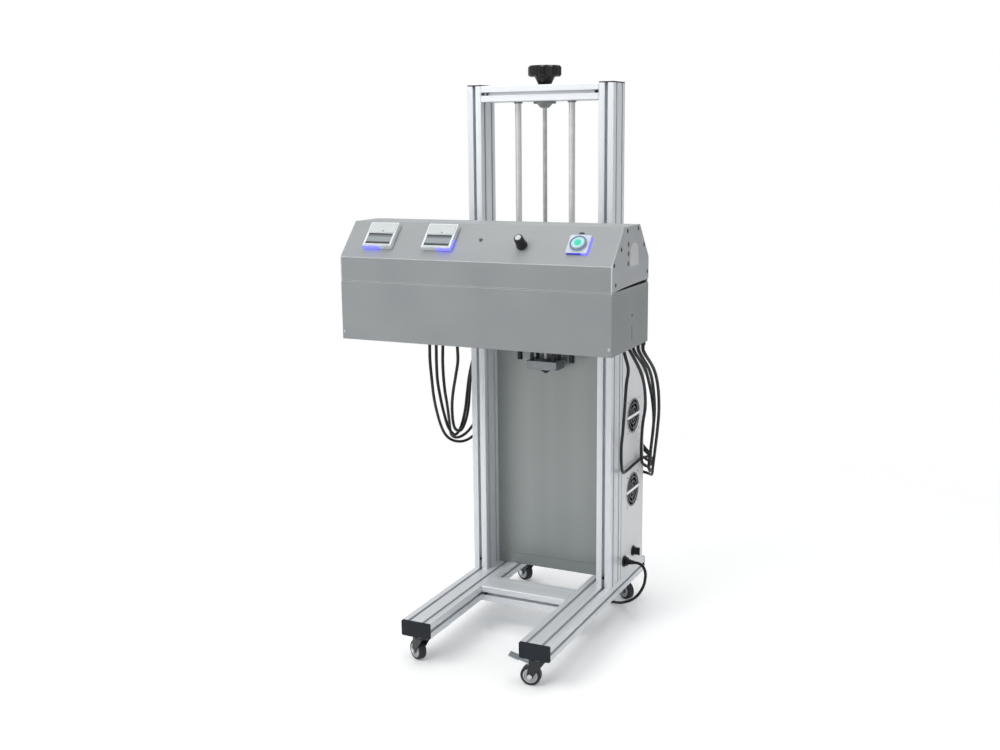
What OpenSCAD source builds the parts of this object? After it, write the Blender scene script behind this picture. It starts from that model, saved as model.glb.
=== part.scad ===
// Induction sealing machine on a wheeled frame of slotted aluminium profiles.
// Millimetres. X runs to the right and Y to the back, both from the middle; Z runs up from the floor.

/* [Frame] */
// Outer width over both uprights
frame_w = 400; // [380:1:440]
// Depth of the base over the end caps of the legs
frame_d = 680; // [640:1:740]
// Length of each upright
upright_l = 1297; // [1260:1:1450]
// Distance from the front end of the base to the front of the uprights
upright_setback = 400; // [380:1:430]
// Narrow side of the slotted profile, and the pitch of its slots
profile_a = 40; // [38:1:44]
// Width of a slot at its mouth
slot_mouth = 8.2; // [6:0.1:9]
// Thickness of the lips beside the mouth
slot_lip = 4.5; // [3:0.1:5.5]
// Width of a slot behind its lips
slot_inner = 20; // [15:0.5:20.5]
// Depth of a slot
slot_depth = 12.3; // [10:0.1:12.6]
// Bore in the core of each module
core_d = 6.8; // [5:0.1:8.5]
// Thickness of the cap on an upright
upright_cap_t = 3; // [2:0.5:6]
// Thickness of the cap on a leg's end
leg_cap_t = 5; // [3:0.5:8]
// Height of the base crossbar's middle behind the front end of the base
base_bar_back = 324; // [260:1:350]

/* [Lift] */
// Diameter of the guide rods
rod_d = 16; // [12:0.5:20]
// Distance between the middles of the guide rods
rod_spacing = 148; // [140:1:170]
// Diameter of the lead screw
screw_d = 12; // [10:0.5:16]
// Outer diameter of a linear bearing
bearing_d = 28; // [26:0.5:32]
// Length of a linear bearing
bearing_l = 37; // [30:0.5:45]
// Diameter of a linear bearing's flange
bearing_flange_d = 48; // [42:0.5:52]
// Height of the carriage block
carriage_h = 148; // [120:1:170]
// Depth of the carriage block
carriage_d = 56; // [50:1:64]
// Diameter of the hand knob over its lobes
knob_d = 84; // [70:1:100]
// Height of the hand knob's grip
knob_grip_h = 27; // [20:1:36]
// Number of lobes on the hand knob
knob_lobes = 12; // [6:1:16]

/* [Sealing head] */
// Width of the sealing head
head_w = 690; // [660:1:740]
// Depth of the sealing head
head_d = 241; // [225:1:250]
// Height of the sealing head's underside above the floor
head_z = 813; // [780:1:860]
// Distance from the front of the uprights to the back of the sealing head
head_reach = 152; // [140:1:180]
// Height of the lower box
box_h = 140; // [110:1:170]
// Height of the upper cover
cover_h = 136.5; // [125:0.5:150]
// Height of the cover's upright front edge
cover_front_h = 56.5; // [50:0.5:65]
// Height of the cover's upright back edge
cover_back_h = 58; // [40:0.5:70]
// How far the sloping panel runs back
slope_run = 73.5; // [68:0.5:90]
// Depth of the cover's flat top
top_run = 104.5; // [90:0.5:115]
// Thickness of the sheet metal
sheet = 2; // [1.5:0.1:2.5]
// Distance between the middles of the two arms
arm_spacing = 120; // [90:1:140]
// Thickness of the insulating plate
plate_t = 5; // [3:0.5:7]

/* [Control panel] */
// Width of a panel meter
meter_w = 76; // [70:0.5:84]
// Height of a panel meter
meter_h = 70; // [60:0.5:76]
// How far a panel meter stands out
meter_t = 11; // [8:0.5:14]
// Middle of the left meter from the head's left end
meter_left_in = 94; // [70:1:100]
// Middle of the right meter from the machine's middle
meter_right_x = 93; // [80:1:120]
// Diameter of the power knob
power_knob_d = 24; // [18:0.5:28]
// Height of the power knob
power_knob_h = 28; // [18:0.5:32]
// Place of the power knob from the machine's middle
power_knob_x = 118; // [90:1:140]
// Side of the start button's square bezel
start_side = 50; // [44:0.5:56]
// Diameter of the start button
start_d = 30; // [24:0.5:34]
// Place of the start button from the head's right end
start_in = 92; // [80:1:110]

/* [Cabinet] */
// Depth of the cabinet
cabinet_d = 176; // [150:1:180]
// Height of the cabinet
cabinet_h = 783; // [740:1:800]
// Height of the sill below the front panel
sill_h = 30.5; // [20:0.5:35]
// Side of a fan's square frame
fan_side = 92; // [80:1:95]
// Depth of a fan's frame
fan_t = 25; // [20:0.5:38]
// Diameter of a fan's opening
fan_d = 88; // [70:0.5:89]
// Height of the lower fan's middle above the floor
fan_low_z = 345; // [320:1:360]
// Distance between the middles of the two fans
fan_pitch = 206; // [180:1:230]

/* [Casters] */
// Height of a caster
caster_h = 77; // [76:0.5:90]
// Diameter of a caster's wheel
wheel_d = 50; // [44:0.5:51]
// Width of a caster's wheel
wheel_w = 20; // [16:0.5:24]
// Distance from a caster's pivot to its axle
caster_trail = 22; // [16:0.5:24]
// Diameter of an axle
axle_d = 8; // [6:0.5:10]

/* [Hidden] */
$fn = 48;

// Clearances
fit = 0.05;
gap = 0.3;
overrun = 1;

// Profile
profile_b = 2 * profile_a;
profile_corner_r = 2;
slot_shoulder_share = 0.2;
slot_floor_share = 0.5;
hollow_w_share = 0.3;
hollow_h_share = 0.7;
cap_corner_r = 4;
slot_spare = 0.4;
connector_spare = 1.3;
connector_inset = 27;
side_connector_h = 68;
bar_connector_inset = 10;

// Frame places
half_w = frame_w / 2;
leg_z0 = caster_h;
leg_z1 = leg_z0 + profile_a;
leg_l = frame_d - 2 * leg_cap_t;
bar_x = half_w - profile_a;
base_bar_x = half_w - profile_b;
upright_y0 = upright_setback - frame_d / 2;
upright_y1 = upright_y0 + profile_b;
upright_y = upright_y0 + profile_a;
upright_z1 = leg_z1 + upright_l;
top_bar_z0 = upright_z1 - profile_a;
base_bar_y = base_bar_back - frame_d / 2;

// Sealing head places
half_head = head_w / 2;
head_y1 = upright_y0 - head_reach;
head_y0 = head_y1 - head_d;
box_z1 = head_z + box_h;
seam_gap = 1;
cover_z0 = box_z1 + seam_gap;
crease_z = cover_z0 + cover_front_h;
slope_rise = cover_h - cover_front_h;
slope_angle = atan2(slope_rise, slope_run);
slope_l = norm([slope_run, slope_rise]);
bottom_flange = 25;
gland_flange = 50;
top_flange = 12;
board_flange = 60;
cover_flange = 10;
seam_rise_right = 6;
seal_inset = 3;
seal_w = 8;
seal_upstand_h = 7;
seal_upstand_t = 2;
key_hole_d = 6;
key_hole_z = 76;
key_slot_w = 3;
key_slot_z = 20;
key_slot_l = 33;
key_forward = 111;

// Lift places
arm_lift = 17;
arm_z0 = head_z + arm_lift;
carriage_below = 24;
carriage_z0 = arm_z0 - carriage_below;
carriage_z1 = carriage_z0 + carriage_h;
carriage_side = 30;
carriage_w = rod_spacing + 2 * carriage_side;
carriage_corner_r = 3;
bearing_flange_t = 6;
nut_flange_d = 42;
nut_flange_t = 10;
nut_d = 22;
nut_l = 30;
nut_fit = 0.08;
travel_down = 14;
stop_room = 7;
lower_bar_z1 = carriage_z0 - nut_flange_t - travel_down - stop_room;
lower_bar_z0 = lower_bar_z1 - profile_a;
rod_seat_wall = 3;
rod_seat_d = rod_d + 2 * rod_seat_wall;
rod_seat_t = 4;
rod_bolt_d = 14;
rod_bolt_h = 28;
foot_block_w = 86;
foot_block_d = 60;
foot_block_t = 22;
foot_block_corner_r = 4;
foot_drop = 25;
foot_bolt_d = 10;
foot_bolt_inset = 12;
foot_z1 = lower_bar_z0 - foot_drop;
foot_z0 = foot_z1 - foot_block_t;
lock_collar_d = 2 * screw_d;
lock_collar_h = 8;
screw_tail = 4;
screw_room = 1;
bearing_plate_d = 57;
bearing_plate_t = 6;
cone_top_d = 40;
cone_end_d = 22;
cone_h = 10;
knob_z0 = upright_z1 + gap;
knob_neck_d = 32;
knob_flare_d = 52;
knob_neck_h = 20;
knob_flute_d = 15;
knob_flute_out = 3.2;
knob_edge = 4;
knob_dish_d = 40;
knob_dish_t = 3;
knob_crown_t = 12;
arm_plate_t = 6;
arm_plate_over = 20;
arm_plate_under = 10;
arm_plate_w = arm_spacing + 2 * profile_a;

// Inside the sealing head
plate_room = 1;
plate_lap = 5;
plate_z0 = head_z + sheet;
plate_z1 = plate_z0 + plate_t;
plate_y0 = head_y0 + sheet + plate_room;
plate_y1 = head_y1 - sheet - gland_flange + plate_lap;
coil_w = 560;
coil_d = 150;
coil_band = 36;
coil_t = 12;
core_count = 7;
core_w = 28;
core_l = 150;
core_t = 18;
board_w = 240;
board_d = 38;
board_t = 1.6;
standoff_h = 8;
standoff_d = 6;
board_edge = 6;
board_back = 18;
trafo_w = 30;
trafo_d = 24;
trafo_h = 22;
can_d = 16;
can_h = 20;

// Control panel
meter_up = 62.5;
meter_left_x = half_head - meter_left_in;
meter_corner_r = 3;
meter_body_w = 60;
meter_body_h = 50;
meter_body_t = 24;
cut_room = 0.5;
window_w = 66;
window_h = 31;
window_t = 1.5;
window_down = 12.5;
pocket_t = 2;
lamp_x = 9.5;
lamp_up = 63;
lamp_rim_d = 9;
lamp_rim_t = 3;
lamp_body_d = 6.8;
lamp_body_l = 10;
lamp_dome_d = 5;
pot_up = 49;
pot_nut_d = 14;
pot_nut_t = 2.5;
pot_thread_d = 9.4;
pot_thread_l = 8;
pot_can_d = 24;
pot_can_t = 12;
shaft_d = 6;
shaft_in = 14;
power_skirt_d = 26;
power_skirt_t = 3;
power_edge = 1.5;
pointer_w = 1.2;
start_up = 56;
start_x = half_head - start_in;
start_corner_r = 4;
start_plate_t = 5;
start_collar_d = 37;
start_collar_h = 4;
start_well = 10;
start_body_d = 35;
start_body_l = 24;
start_head_h = 11;
start_foot = 6;
start_edge = 1.5;

// Cabinet
cabinet_y0 = upright_y1;
cabinet_y1 = cabinet_y0 + cabinet_d;
cabinet_z1 = leg_z1 + cabinet_h;
panel_z0 = leg_z1 + sill_h + overrun;
frame_lip = 15;
fan_y = (cabinet_y0 + cabinet_y1) / 2;
fan_zs = [fan_low_z + fan_pitch, fan_low_z];
fan_corner_r = 4;
motor_d = 34;
motor_t = 3;
strut_w = 5;
fan_pin_d = 4;
fan_pin_l = 14;
hub_d = 36;
hub_room = 2;
hub_l = 18;
blade_count = 7;
blade_share = 0.965;
blade_t = 1.6;
blade_w = 20;
blade_pitch = 38;
guard_wire = 1.8;
guard_bar = 8;
guard_ring_count = 4;
guard_land = 3;
inlet_in = 25;
inlet_up = 43;
inlet_rim_d = 30;
inlet_rim_t = 4;
switch_in = 96;
switch_up = 50;
switch_rim_d = 28;
switch_rim_t = 4;
switch_knob_d = 21;
switch_knob_t = 8;
switch_grip_w = 6;
switch_grip_h = 8;
switch_shaft_l = 10;
connector_d = 24;
connector_l = 7;
relief_l = 20;
relief_d = 17;
unit_side = 80;
unit_w = 2 * (half_w - unit_side);
unit_d = 110;
unit_h = 420;
unit_fin_count = 12;
unit_fin_t = 3;
unit_fin_d = 22;

// Glands
gland_d = 15;
gland_h = 20;
gland_hex_h = 7;
gland_stub_d = 10;
gland_nut_d = 13.6;
gland_nut_t = 4;
gland_room = 0.4;
grommet_d = 11.6;
grommet_h = 8;
grommet_neck_d = 8.6;
grommet_back_d = 10;
grommet_back_t = 2;

// Casters
caster_inset = 34;
caster_rear_in = 18;
caster_yaws = [152, 190, 156, 330];
caster_x = half_w - profile_b / 2;
caster_y = frame_d / 2 - caster_inset;
caster_spots = [
    [-caster_x, -caster_y],
    [caster_x, -caster_y],
    [caster_rear_in - caster_x, caster_y],
    [caster_x - caster_rear_in, caster_y]
];
mount_w = 60;
mount_d = 50;
mount_t = 3;
mount_corner_r = 4;
raceway_d = 38;
raceway_h = 6;
kingpin_d = 8;
kingpin_head_d = 14;
kingpin_head_t = 2;
crown_d = 44;
crown_t = 3;
crown_z1 = caster_h - mount_t - raceway_h - gap;
crown_z0 = crown_z1 - crown_t;
arm_t = 2.5;
arm_room = 1;
arm_back = 16;
arm_front = 24;
eye_r = 8;
axle_z = wheel_d / 2;
axle_head_d = 12;
axle_head_t = 4;
tyre_t = 7;
tyre_edge = 2.5;
hub_waist = 3;
hub_rim = 3;
hub_boss_d = 15;
brake_pin_d = 5;
brake_pin_x = 6;
brake_pin_drop = 7.7;
brake_pin_z = crown_z0 - brake_pin_drop;
pedal_t = 3;
pedal_eye_r = 4;
pedal_room = 1.5;
pedal_flat = 24;
pedal_reach = 69;
pedal_rise = 15;
pedal_tip_l = 26;
pedal_tip_w = 26;
shoe_from = 14;
shoe_l = 8;
shoe_drop = 4.5;

// Cords
cable_d = 8;
cable_sides = 8;
cord_d = 8;
cord_sides = 8;
loop_sides = 6;
loop_rings = 24;
coil_x = 30;
coil_y = 522;
coil_r = 60;
coil_step = 8.6;
coil_turn = 3.25;
coil_turns = 6.25;
climb_from = 3;
climb_to = 3.5;
plug_tail = 34;
plug_relief_l = 25;
plug_relief_d = 14;
plug_l = 45;
plug_pin_d = 4.8;
plug_pin_l = 19;
plug_pin_pitch = 19;
plug_edge = 3;

// Cable routes, one list of points for each cable from the sealing head to the cabinet
left_points = [
    [[-232, -108, 793], [-232, -108, 766], [-242, -90, 722], [-256, -58, 668], [-276, -14, 614],
     [-296, 36, 562], [-310, 84, 508], [-314, 120, 470], [-307, 150, 448], [-292, 182, 440],
     [-276, 212, 450], [-264, 238, 478], [-258, 256, 515], [-257, 265, 550], [-253, 269, 578],
     [-243, 270, 595], [-232, 270, 600], [-220, 270, 600]],
    [[-213, -108, 793], [-213, -108, 766], [-222, -92, 722], [-238, -60, 668], [-248, -28, 614],
     [-254, 2, 562], [-254, 26, 518], [-248, 50, 494], [-243, 74, 508], [-244, 104, 550],
     [-252, 134, 594], [-260, 163, 634], [-263, 190, 672], [-260, 216, 710], [-253, 236, 742],
     [-243, 244, 755], [-232, 245, 760], [-220, 245, 760]],
    [[-194, -108, 793], [-194, -108, 766], [-206, -88, 722], [-222, -56, 675], [-238, -20, 628],
     [-254, 20, 584], [-272, 62, 536], [-288, 98, 494], [-297, 124, 470], [-294, 150, 458],
     [-282, 176, 464], [-271, 202, 484], [-264, 224, 512], [-259, 238, 545], [-256, 244, 578],
     [-252, 246, 607], [-243, 246, 624], [-232, 246, 630], [-220, 246, 630]],
    [[-152, -108, 793], [-152, -108, 766], [-160, -92, 728], [-180, -68, 682], [-204, -38, 634],
     [-224, -8, 588], [-236, 18, 540], [-240, 40, 512], [-234, 60, 506], [-230, 80, 528],
     [-232, 102, 562], [-240, 126, 600], [-248, 150, 640], [-253, 178, 684], [-255, 200, 724],
     [-251, 213, 754], [-243, 218, 776], [-232, 218, 782], [-220, 218, 782]]
];
right_points = [
    [[288, -103, 805], [288, -103, 794], [289, -88, 770], [287, -61, 733], [276, -43, 690],
     [258, -3, 620], [242, 31, 557], [230, 54, 509], [221, 80, 455], [214, 112, 424],
     [209, 160, 417], [208, 215, 419], [208, 269, 421], [211, 314, 416], [212, 342, 412],
     [203, 360, 415], [186, 369, 426], [170, 370, 446], [158, 363, 466], [151, 350, 479],
     [150, 336, 480]],
    [[302, -103, 805], [302, -103, 794], [304, -86, 778], [302, -14, 722], [290, 53, 668],
     [270, 120, 603], [250, 162, 550], [230, 210, 485], [218, 249, 424], [215, 280, 401],
     [214, 312, 390], [213, 341, 387], [203, 361, 389], [185, 371, 395], [168, 370, 405],
     [156, 361, 415], [150, 348, 420], [150, 336, 420]],
    [[314, -103, 805], [314, -103, 794], [316, -88, 777], [312, -14, 733], [302, 54, 679],
     [290, 118, 618], [270, 190, 545], [239, 265, 456], [226, 300, 418], [223, 328, 400],
     [216, 352, 395], [201, 371, 403], [182, 377, 416], [167, 373, 432], [156, 363, 445],
     [150, 350, 450], [150, 336, 450]],
    [[326, -103, 805], [326, -103, 794], [327, -88, 778], [323, -10, 727], [314, 48, 674],
     [297, 114, 600], [273, 176, 528], [247, 238, 459], [225, 290, 397], [217, 322, 374],
     [210, 347, 370], [197, 365, 372], [180, 372, 377], [165, 368, 384], [155, 359, 389],
     [150, 348, 390], [150, 336, 390]],
    [[338, -103, 805], [338, -103, 794], [339, -88, 779], [334, -6, 727], [326, 51, 671],
     [308, 116, 599], [284, 179, 528], [258, 241, 456], [235, 295, 392], [224, 323, 367],
     [213, 347, 356], [199, 365, 353], [182, 372, 354], [166, 368, 357], [155, 359, 359],
     [150, 348, 360], [150, 336, 360]]
];
// Route of the mains cord from its connector to its coil
mains_points = [
    [230, 165, 160], [240, 165, 160], [250, 166, 156], [257, 168, 146], [260, 171, 128],
    [255, 176, 100], [246, 182, 80], [233, 190, 60], [216, 199, 42], [195, 210, 27],
    [172, 223, 15], [150, 236, 8], [128, 246, 4], [107, 257, 4], [91, 275, 4], [83, 300, 4],
    [80, 330, 4], [81, 370, 4], [84, 410, 4], [88, 450, 4], [90, 486, 4], [90, 514, 4]
];
// The lists are drawn for a head whose end, back and underside lie here, and a cabinet whose side,
// back, front and foot lie here; the ends of a route move with the head and the cabinet
drawn_head_x = 345;
drawn_head_y = -92;
drawn_head_z = 813;
drawn_cabinet_x = 200;
drawn_cabinet_back = 316;
drawn_cabinet_front = 140;
drawn_cabinet_z = 117;
function laid(points, at_start, at_end) = let (last = len(points) - 1) [
    for (i = [0:last]) let (share = min(max((i - 1) / (last - 2), 0), 1))
        points[i] + (1 - share) * at_start + share * at_end
];
function head_moved(side) = [
    side * (half_head - drawn_head_x), head_y1 - drawn_head_y, head_z - drawn_head_z
];
function cabinet_moved(side) = [
    side * (half_w - drawn_cabinet_x), cabinet_y1 - drawn_cabinet_back, leg_z1 - drawn_cabinet_z
];
left_routes = [for (points = left_points) laid(points, head_moved(-1), cabinet_moved(-1))];
right_routes = [for (points = right_points) laid(points, head_moved(1), cabinet_moved(1))];
inlet_moved = [
    half_w - drawn_cabinet_x, cabinet_y0 - drawn_cabinet_front, leg_z1 - drawn_cabinet_z
];
mains_route = laid(mains_points, inlet_moved, [0, 0, 0]);

// Vectors and sweeps
function unit(v) = v / norm(v);
function chord(path, i) = path[min(i + 1, len(path) - 1)] - path[max(i - 1, 0)];
function square_to(t, n) = unit(n - (n * t) * t);
function tangents(path) = [for (i = [0:len(path) - 1]) unit(chord(path, i))];
function sides_along(ts, n0) = [
    for (i = 0, n = square_to(ts[0], n0); i < len(ts);
         i = i + 1, n = i < len(ts) ? square_to(ts[i], n) : n) n
];
function ring(p, t, n, r, k) = [
    for (j = [0:k - 1]) p + r * (cos(360 * j / k) * n + sin(360 * j / k) * cross(t, n))
];
function tube_points(path, r, k, n0) = let (ts = tangents(path), ns = sides_along(ts, n0)) [
    for (i = [0:len(path) - 1]) each ring(path[i], ts[i], ns[i], r, k)
];
function tube_faces(rings, k) = [
    for (i = [0:rings - 2], j = [0:k - 1])
        let (a = i * k + j, b = i * k + (j + 1) % k, c = a + k, d = b + k)
            each [[a, c, b], [b, c, d]],
    for (j = [1:k - 2]) [0, j, j + 1],
    for (j = [1:k - 2]) let (e = (rings - 1) * k) [e, e + j + 1, e + j]
];
module tube(path, d, k, n0 = [0, 0, 1]) {
    polyhedron(points = tube_points(path, d / 2, k, n0), faces = tube_faces(len(path), k));
}

// The coil spirals in on the floor, climbs one layer where it turns round, and spirals out on top
function coil_radius(n) = coil_r - coil_step * (n < coil_turn ? n : 2 * coil_turn - n);
function coil_share(n) = min(max((n - climb_from) / (climb_to - climb_from), 0), 1);
function coil_height(n) = cord_d / 2 + coil_step * coil_share(n);
function coil_point(n) = [
    coil_x + coil_radius(n) * cos(360 * n),
    coil_y + coil_radius(n) * sin(360 * n),
    coil_height(n)
];
coil_ring_count = coil_turns * loop_rings;
coil_path = [for (i = [0:coil_ring_count]) coil_point(i / loop_rings)];
coil_end = coil_path[coil_ring_count];
tail_end = coil_end - [plug_tail, 0, 0];
coil_start = coil_path[0] - [0, cord_d, 0];
self_near = min([
    for (i = [0:coil_ring_count], j = [i + loop_rings / 3:coil_ring_count])
        norm(coil_path[i] - coil_path[j])
]);
echo(least_gap_in_coil = self_near - cord_d);

// Flat outlines
module rounded(w, h, r) {
    square([w - 2 * r, h], center = true);
    square([w, h - 2 * r], center = true);
    for (x = [-1, 1], y = [-1, 1]) translate([x * (w / 2 - r), y * (h / 2 - r)]) circle(r);
}
module block(x0, x1, y0, y1, z0, z1) {
    translate([x0, y0, z0]) cube([x1 - x0, y1 - y0, z1 - z0]);
}
module mirrored_x() {
    children();
    mirror([1, 0, 0]) children();
}
module along_x(x0, x1) {
    translate([x0, 0, 0]) rotate([90, 0, 90]) linear_extrude(x1 - x0) children();
}
module along_y(y0, y1) {
    translate([0, y1, 0]) rotate([90, 0, 0]) linear_extrude(y1 - y0) children();
}
module hole_z(x, y, z0, z1, d) {
    translate([x, y, z0]) cylinder(h = z1 - z0, d = d);
}

// Slotted profile, two modules wide along the first axis
module slot_cut() {
    shoulder = slot_lip + slot_depth * slot_shoulder_share;
    floor_w = slot_inner * slot_floor_share;
    polygon([
        [-slot_mouth / 2, overrun], [slot_mouth / 2, overrun], [slot_mouth / 2, -slot_lip],
        [slot_inner / 2, -slot_lip], [slot_inner / 2, -shoulder], [floor_w / 2, -slot_depth],
        [-floor_w / 2, -slot_depth], [-slot_inner / 2, -shoulder], [-slot_inner / 2, -slot_lip],
        [-slot_mouth / 2, -slot_lip]
    ]);
}
module profile_outline(wide_slots = true) {
    difference() {
        rounded(profile_b, profile_a, profile_corner_r);
        for (side = [-1, 1]) rotate(side * 90) translate([0, profile_a]) slot_cut();
        if (wide_slots) for (turn = [0, 180], side = [-1, 1])
            rotate(turn) translate([side * profile_a / 2, profile_a / 2]) slot_cut();
        for (side = [-1, 1]) translate([side * profile_a / 2, 0]) circle(d = core_d);
        square([hollow_w_share * profile_a, hollow_h_share * profile_a], center = true);
    }
}
module upright(side) {
    translate([side * (half_w - profile_a / 2), upright_y, leg_z1]) rotate(90)
        linear_extrude(upright_l) profile_outline();
}
module leg(side) {
    translate([side * (half_w - profile_a), 0, leg_z0 + profile_a / 2])
        along_y(-leg_l / 2, leg_l / 2) profile_outline();
}
module crossbar(x, y, z0, wide_slots = true) {
    translate([0, y, z0 + profile_a / 2]) along_x(-x, x) profile_outline(wide_slots);
}

module left_upright() {
    color("#D0D4DC") upright(-1);
}
module right_upright() {
    color("#D0D4DC") upright(1);
}
module upright_caps() {
    color("#2C333A") for (side = [-1, 1])
        translate([side * (half_w - profile_a / 2), upright_y, upright_z1])
            linear_extrude(upright_cap_t) rounded(profile_a, profile_b, cap_corner_r);
}
module top_crossbar() {
    color("#D0D4DC") difference() {
        crossbar(bar_x, upright_y, top_bar_z0);
        hole_z(0, upright_y, top_bar_z0 - overrun, upright_z1 + overrun, screw_d + 2 * screw_room);
    }
}
module lower_crossbar() {
    color("#D0D4DC") difference() {
        crossbar(bar_x, upright_y, lower_bar_z0);
        hole_z(0, upright_y, lower_bar_z0 - overrun, lower_bar_z1 + overrun,
               screw_d + 2 * screw_room);
    }
}
module base_crossbar() {
    color("#D0D4DC") crossbar(base_bar_x, base_bar_y, leg_z0, false);
}
module left_leg() {
    color("#D0D4DC") leg(-1);
}
module right_leg() {
    color("#D0D4DC") leg(1);
}
module leg_caps() {
    color("#2C333A") for (x = [-1, 1], y = [0, 1])
        translate([x * (half_w - profile_a), 0, leg_z0 + profile_a / 2]) mirror([0, y, 0])
            along_y(leg_l / 2, frame_d / 2) rounded(profile_b, profile_a, cap_corner_r);
}

// Plugs stand on the floor of a slot and end just inside its mouth
module slot_plug() {
    translate([0, 0, -slot_depth])
        cylinder(h = slot_depth - connector_spare, d = slot_mouth - slot_spare);
}
module front_plug(x, y, z) {
    translate([x, y, z]) rotate([90, 0, 0]) slot_plug();
}
module frame_fasteners() {
    color("#23272B") {
        for (x = [-1, 1]) {
            front_plug(x * (bar_x - bar_connector_inset), upright_y0, top_bar_z0 + profile_a / 2);
            front_plug(x * (bar_x - bar_connector_inset), upright_y0, lower_bar_z0 + profile_a / 2);
            front_plug(x * (base_bar_x - bar_connector_inset), base_bar_y - profile_a,
                       leg_z0 + profile_a / 2);
            front_plug(x * (half_w - profile_a / 2), upright_y0, leg_z1 + connector_inset);
            translate([x * half_w, upright_y + profile_a / 2, leg_z1 + side_connector_h])
                rotate([0, x * 90, 0]) slot_plug();
            difference() {
                hole_z(x * rod_spacing / 2, upright_y, top_bar_z0 - rod_seat_t, top_bar_z0,
                       rod_seat_d);
                hole_z(x * rod_spacing / 2, upright_y, top_bar_z0 - rod_seat_t - overrun,
                       top_bar_z0 + overrun, rod_d + 2 * fit);
            }
            hole_z(x * rod_spacing / 2, upright_y, lower_bar_z0 - rod_bolt_h, lower_bar_z0,
                   rod_bolt_d);
            for (y = [-1, 1])
                hole_z(x * (foot_block_w / 2 - foot_bolt_inset),
                       upright_y + y * (foot_block_d / 2 - foot_bolt_inset), foot_z1, lower_bar_z0,
                       foot_bolt_d);
        }
    }
}
module guide_rods() {
    color("#C9CDD0") for (x = [-1, 1])
        hole_z(x * rod_spacing / 2, upright_y, lower_bar_z1, top_bar_z0, rod_d);
}

// Lead screw and its bearings
module screw_top_bearing() {
    color("#3A3D40") translate([0, upright_y, top_bar_z0]) difference() {
        union() {
            translate([0, 0, -bearing_plate_t]) cylinder(h = bearing_plate_t, d = bearing_plate_d);
            translate([0, 0, -bearing_plate_t - cone_h])
                cylinder(h = cone_h, d1 = cone_end_d, d2 = cone_top_d);
        }
        translate([0, 0, -bearing_plate_t - cone_h - overrun])
            cylinder(h = bearing_plate_t + cone_h + 2 * overrun, d = screw_d + 2 * fit);
    }
}
module screw_lower_bearing() {
    color("#B9BEC2") translate([0, upright_y, foot_z0]) difference() {
        linear_extrude(foot_block_t) rounded(foot_block_w, foot_block_d, foot_block_corner_r);
        translate([0, 0, -overrun])
            cylinder(h = foot_block_t + 2 * overrun, d = screw_d + 2 * fit);
    }
}
module lead_screw() {
    color("#B4B8BB") translate([0, upright_y, 0]) {
        translate([0, 0, foot_z0 - gap - lock_collar_h - screw_tail])
            cylinder(h = knob_z0 + knob_neck_h + knob_grip_h - knob_crown_t
                         - (foot_z0 - gap - lock_collar_h - screw_tail), d = screw_d);
        translate([0, 0, foot_z0 - gap - lock_collar_h])
            cylinder(h = lock_collar_h, d = lock_collar_d);
    }
}
module hand_knob() {
    color("#1B1C1E") translate([0, upright_y, knob_z0]) difference() {
        union() {
            cylinder(h = knob_neck_h, d1 = knob_neck_d, d2 = knob_flare_d);
            translate([0, 0, knob_neck_h]) intersection() {
                linear_extrude(knob_grip_h) difference() {
                    circle(d = knob_d, $fn = 96);
                    for (i = [0:knob_lobes - 1]) rotate(360 * i / knob_lobes)
                        translate([knob_d / 2 + knob_flute_out, 0]) circle(d = knob_flute_d);
                }
                rotate_extrude($fn = 96) polygon([
                    [0, 0], [knob_d / 2 - knob_edge, 0], [knob_d / 2, knob_edge],
                    [knob_d / 2, knob_grip_h - knob_edge], [knob_d / 2 - knob_edge, knob_grip_h],
                    [0, knob_grip_h]
                ]);
            }
        }
        translate([0, 0, -overrun])
            cylinder(h = knob_neck_h + knob_grip_h - knob_crown_t + overrun, d = screw_d + 2 * fit);
        translate([0, 0, knob_neck_h + knob_grip_h - knob_dish_t])
            cylinder(h = knob_dish_t + overrun, d = knob_dish_d);
    }
}

// Carriage
module carriage_block() {
    color("#C4C8CC") difference() {
        translate([0, upright_y, carriage_z0])
            linear_extrude(carriage_h) rounded(carriage_w, carriage_d, carriage_corner_r);
        for (x = [-1, 1])
            hole_z(x * rod_spacing / 2, upright_y, carriage_z0 - overrun, carriage_z1 + overrun,
                   bearing_d + 2 * fit);
        hole_z(0, upright_y, carriage_z0 - overrun, carriage_z1 + overrun, nut_d + 2 * fit);
    }
}
module linear_bearing() {
    difference() {
        union() {
            cylinder(h = bearing_l - bearing_flange_t, d = bearing_d);
            translate([0, 0, -bearing_flange_t])
                cylinder(h = bearing_flange_t, d = bearing_flange_d);
        }
        translate([0, 0, -bearing_flange_t - overrun])
            cylinder(h = bearing_l + 2 * overrun, d = rod_d + 2 * fit);
    }
}
module linear_bearings() {
    color("#AEB3B7") for (x = [-1, 1]) translate([x * rod_spacing / 2, upright_y, 0]) {
        translate([0, 0, carriage_z0]) linear_bearing();
        translate([0, 0, carriage_z1]) mirror([0, 0, 1]) linear_bearing();
    }
}
module lead_nut() {
    color("#B08D3E") translate([0, upright_y, carriage_z0]) difference() {
        union() {
            translate([0, 0, -nut_flange_t]) cylinder(h = nut_flange_t, d = nut_flange_d);
            cylinder(h = nut_l, d = nut_d);
        }
        translate([0, 0, -nut_flange_t - overrun])
            cylinder(h = nut_flange_t + nut_l + 2 * overrun, d = screw_d + 2 * nut_fit);
    }
}
module head_arms() {
    color("#D0D4DC") {
        for (x = [-1, 1]) translate([x * arm_spacing / 2, 0, arm_z0 + profile_a])
            along_y(head_y1 + arm_plate_t + gap, upright_y - carriage_d / 2)
                rotate(90) profile_outline();
        block(-arm_plate_w / 2, arm_plate_w / 2, head_y1, head_y1 + arm_plate_t,
              arm_z0 - arm_plate_under, arm_z0 + profile_b + arm_plate_over);
    }
}

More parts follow.
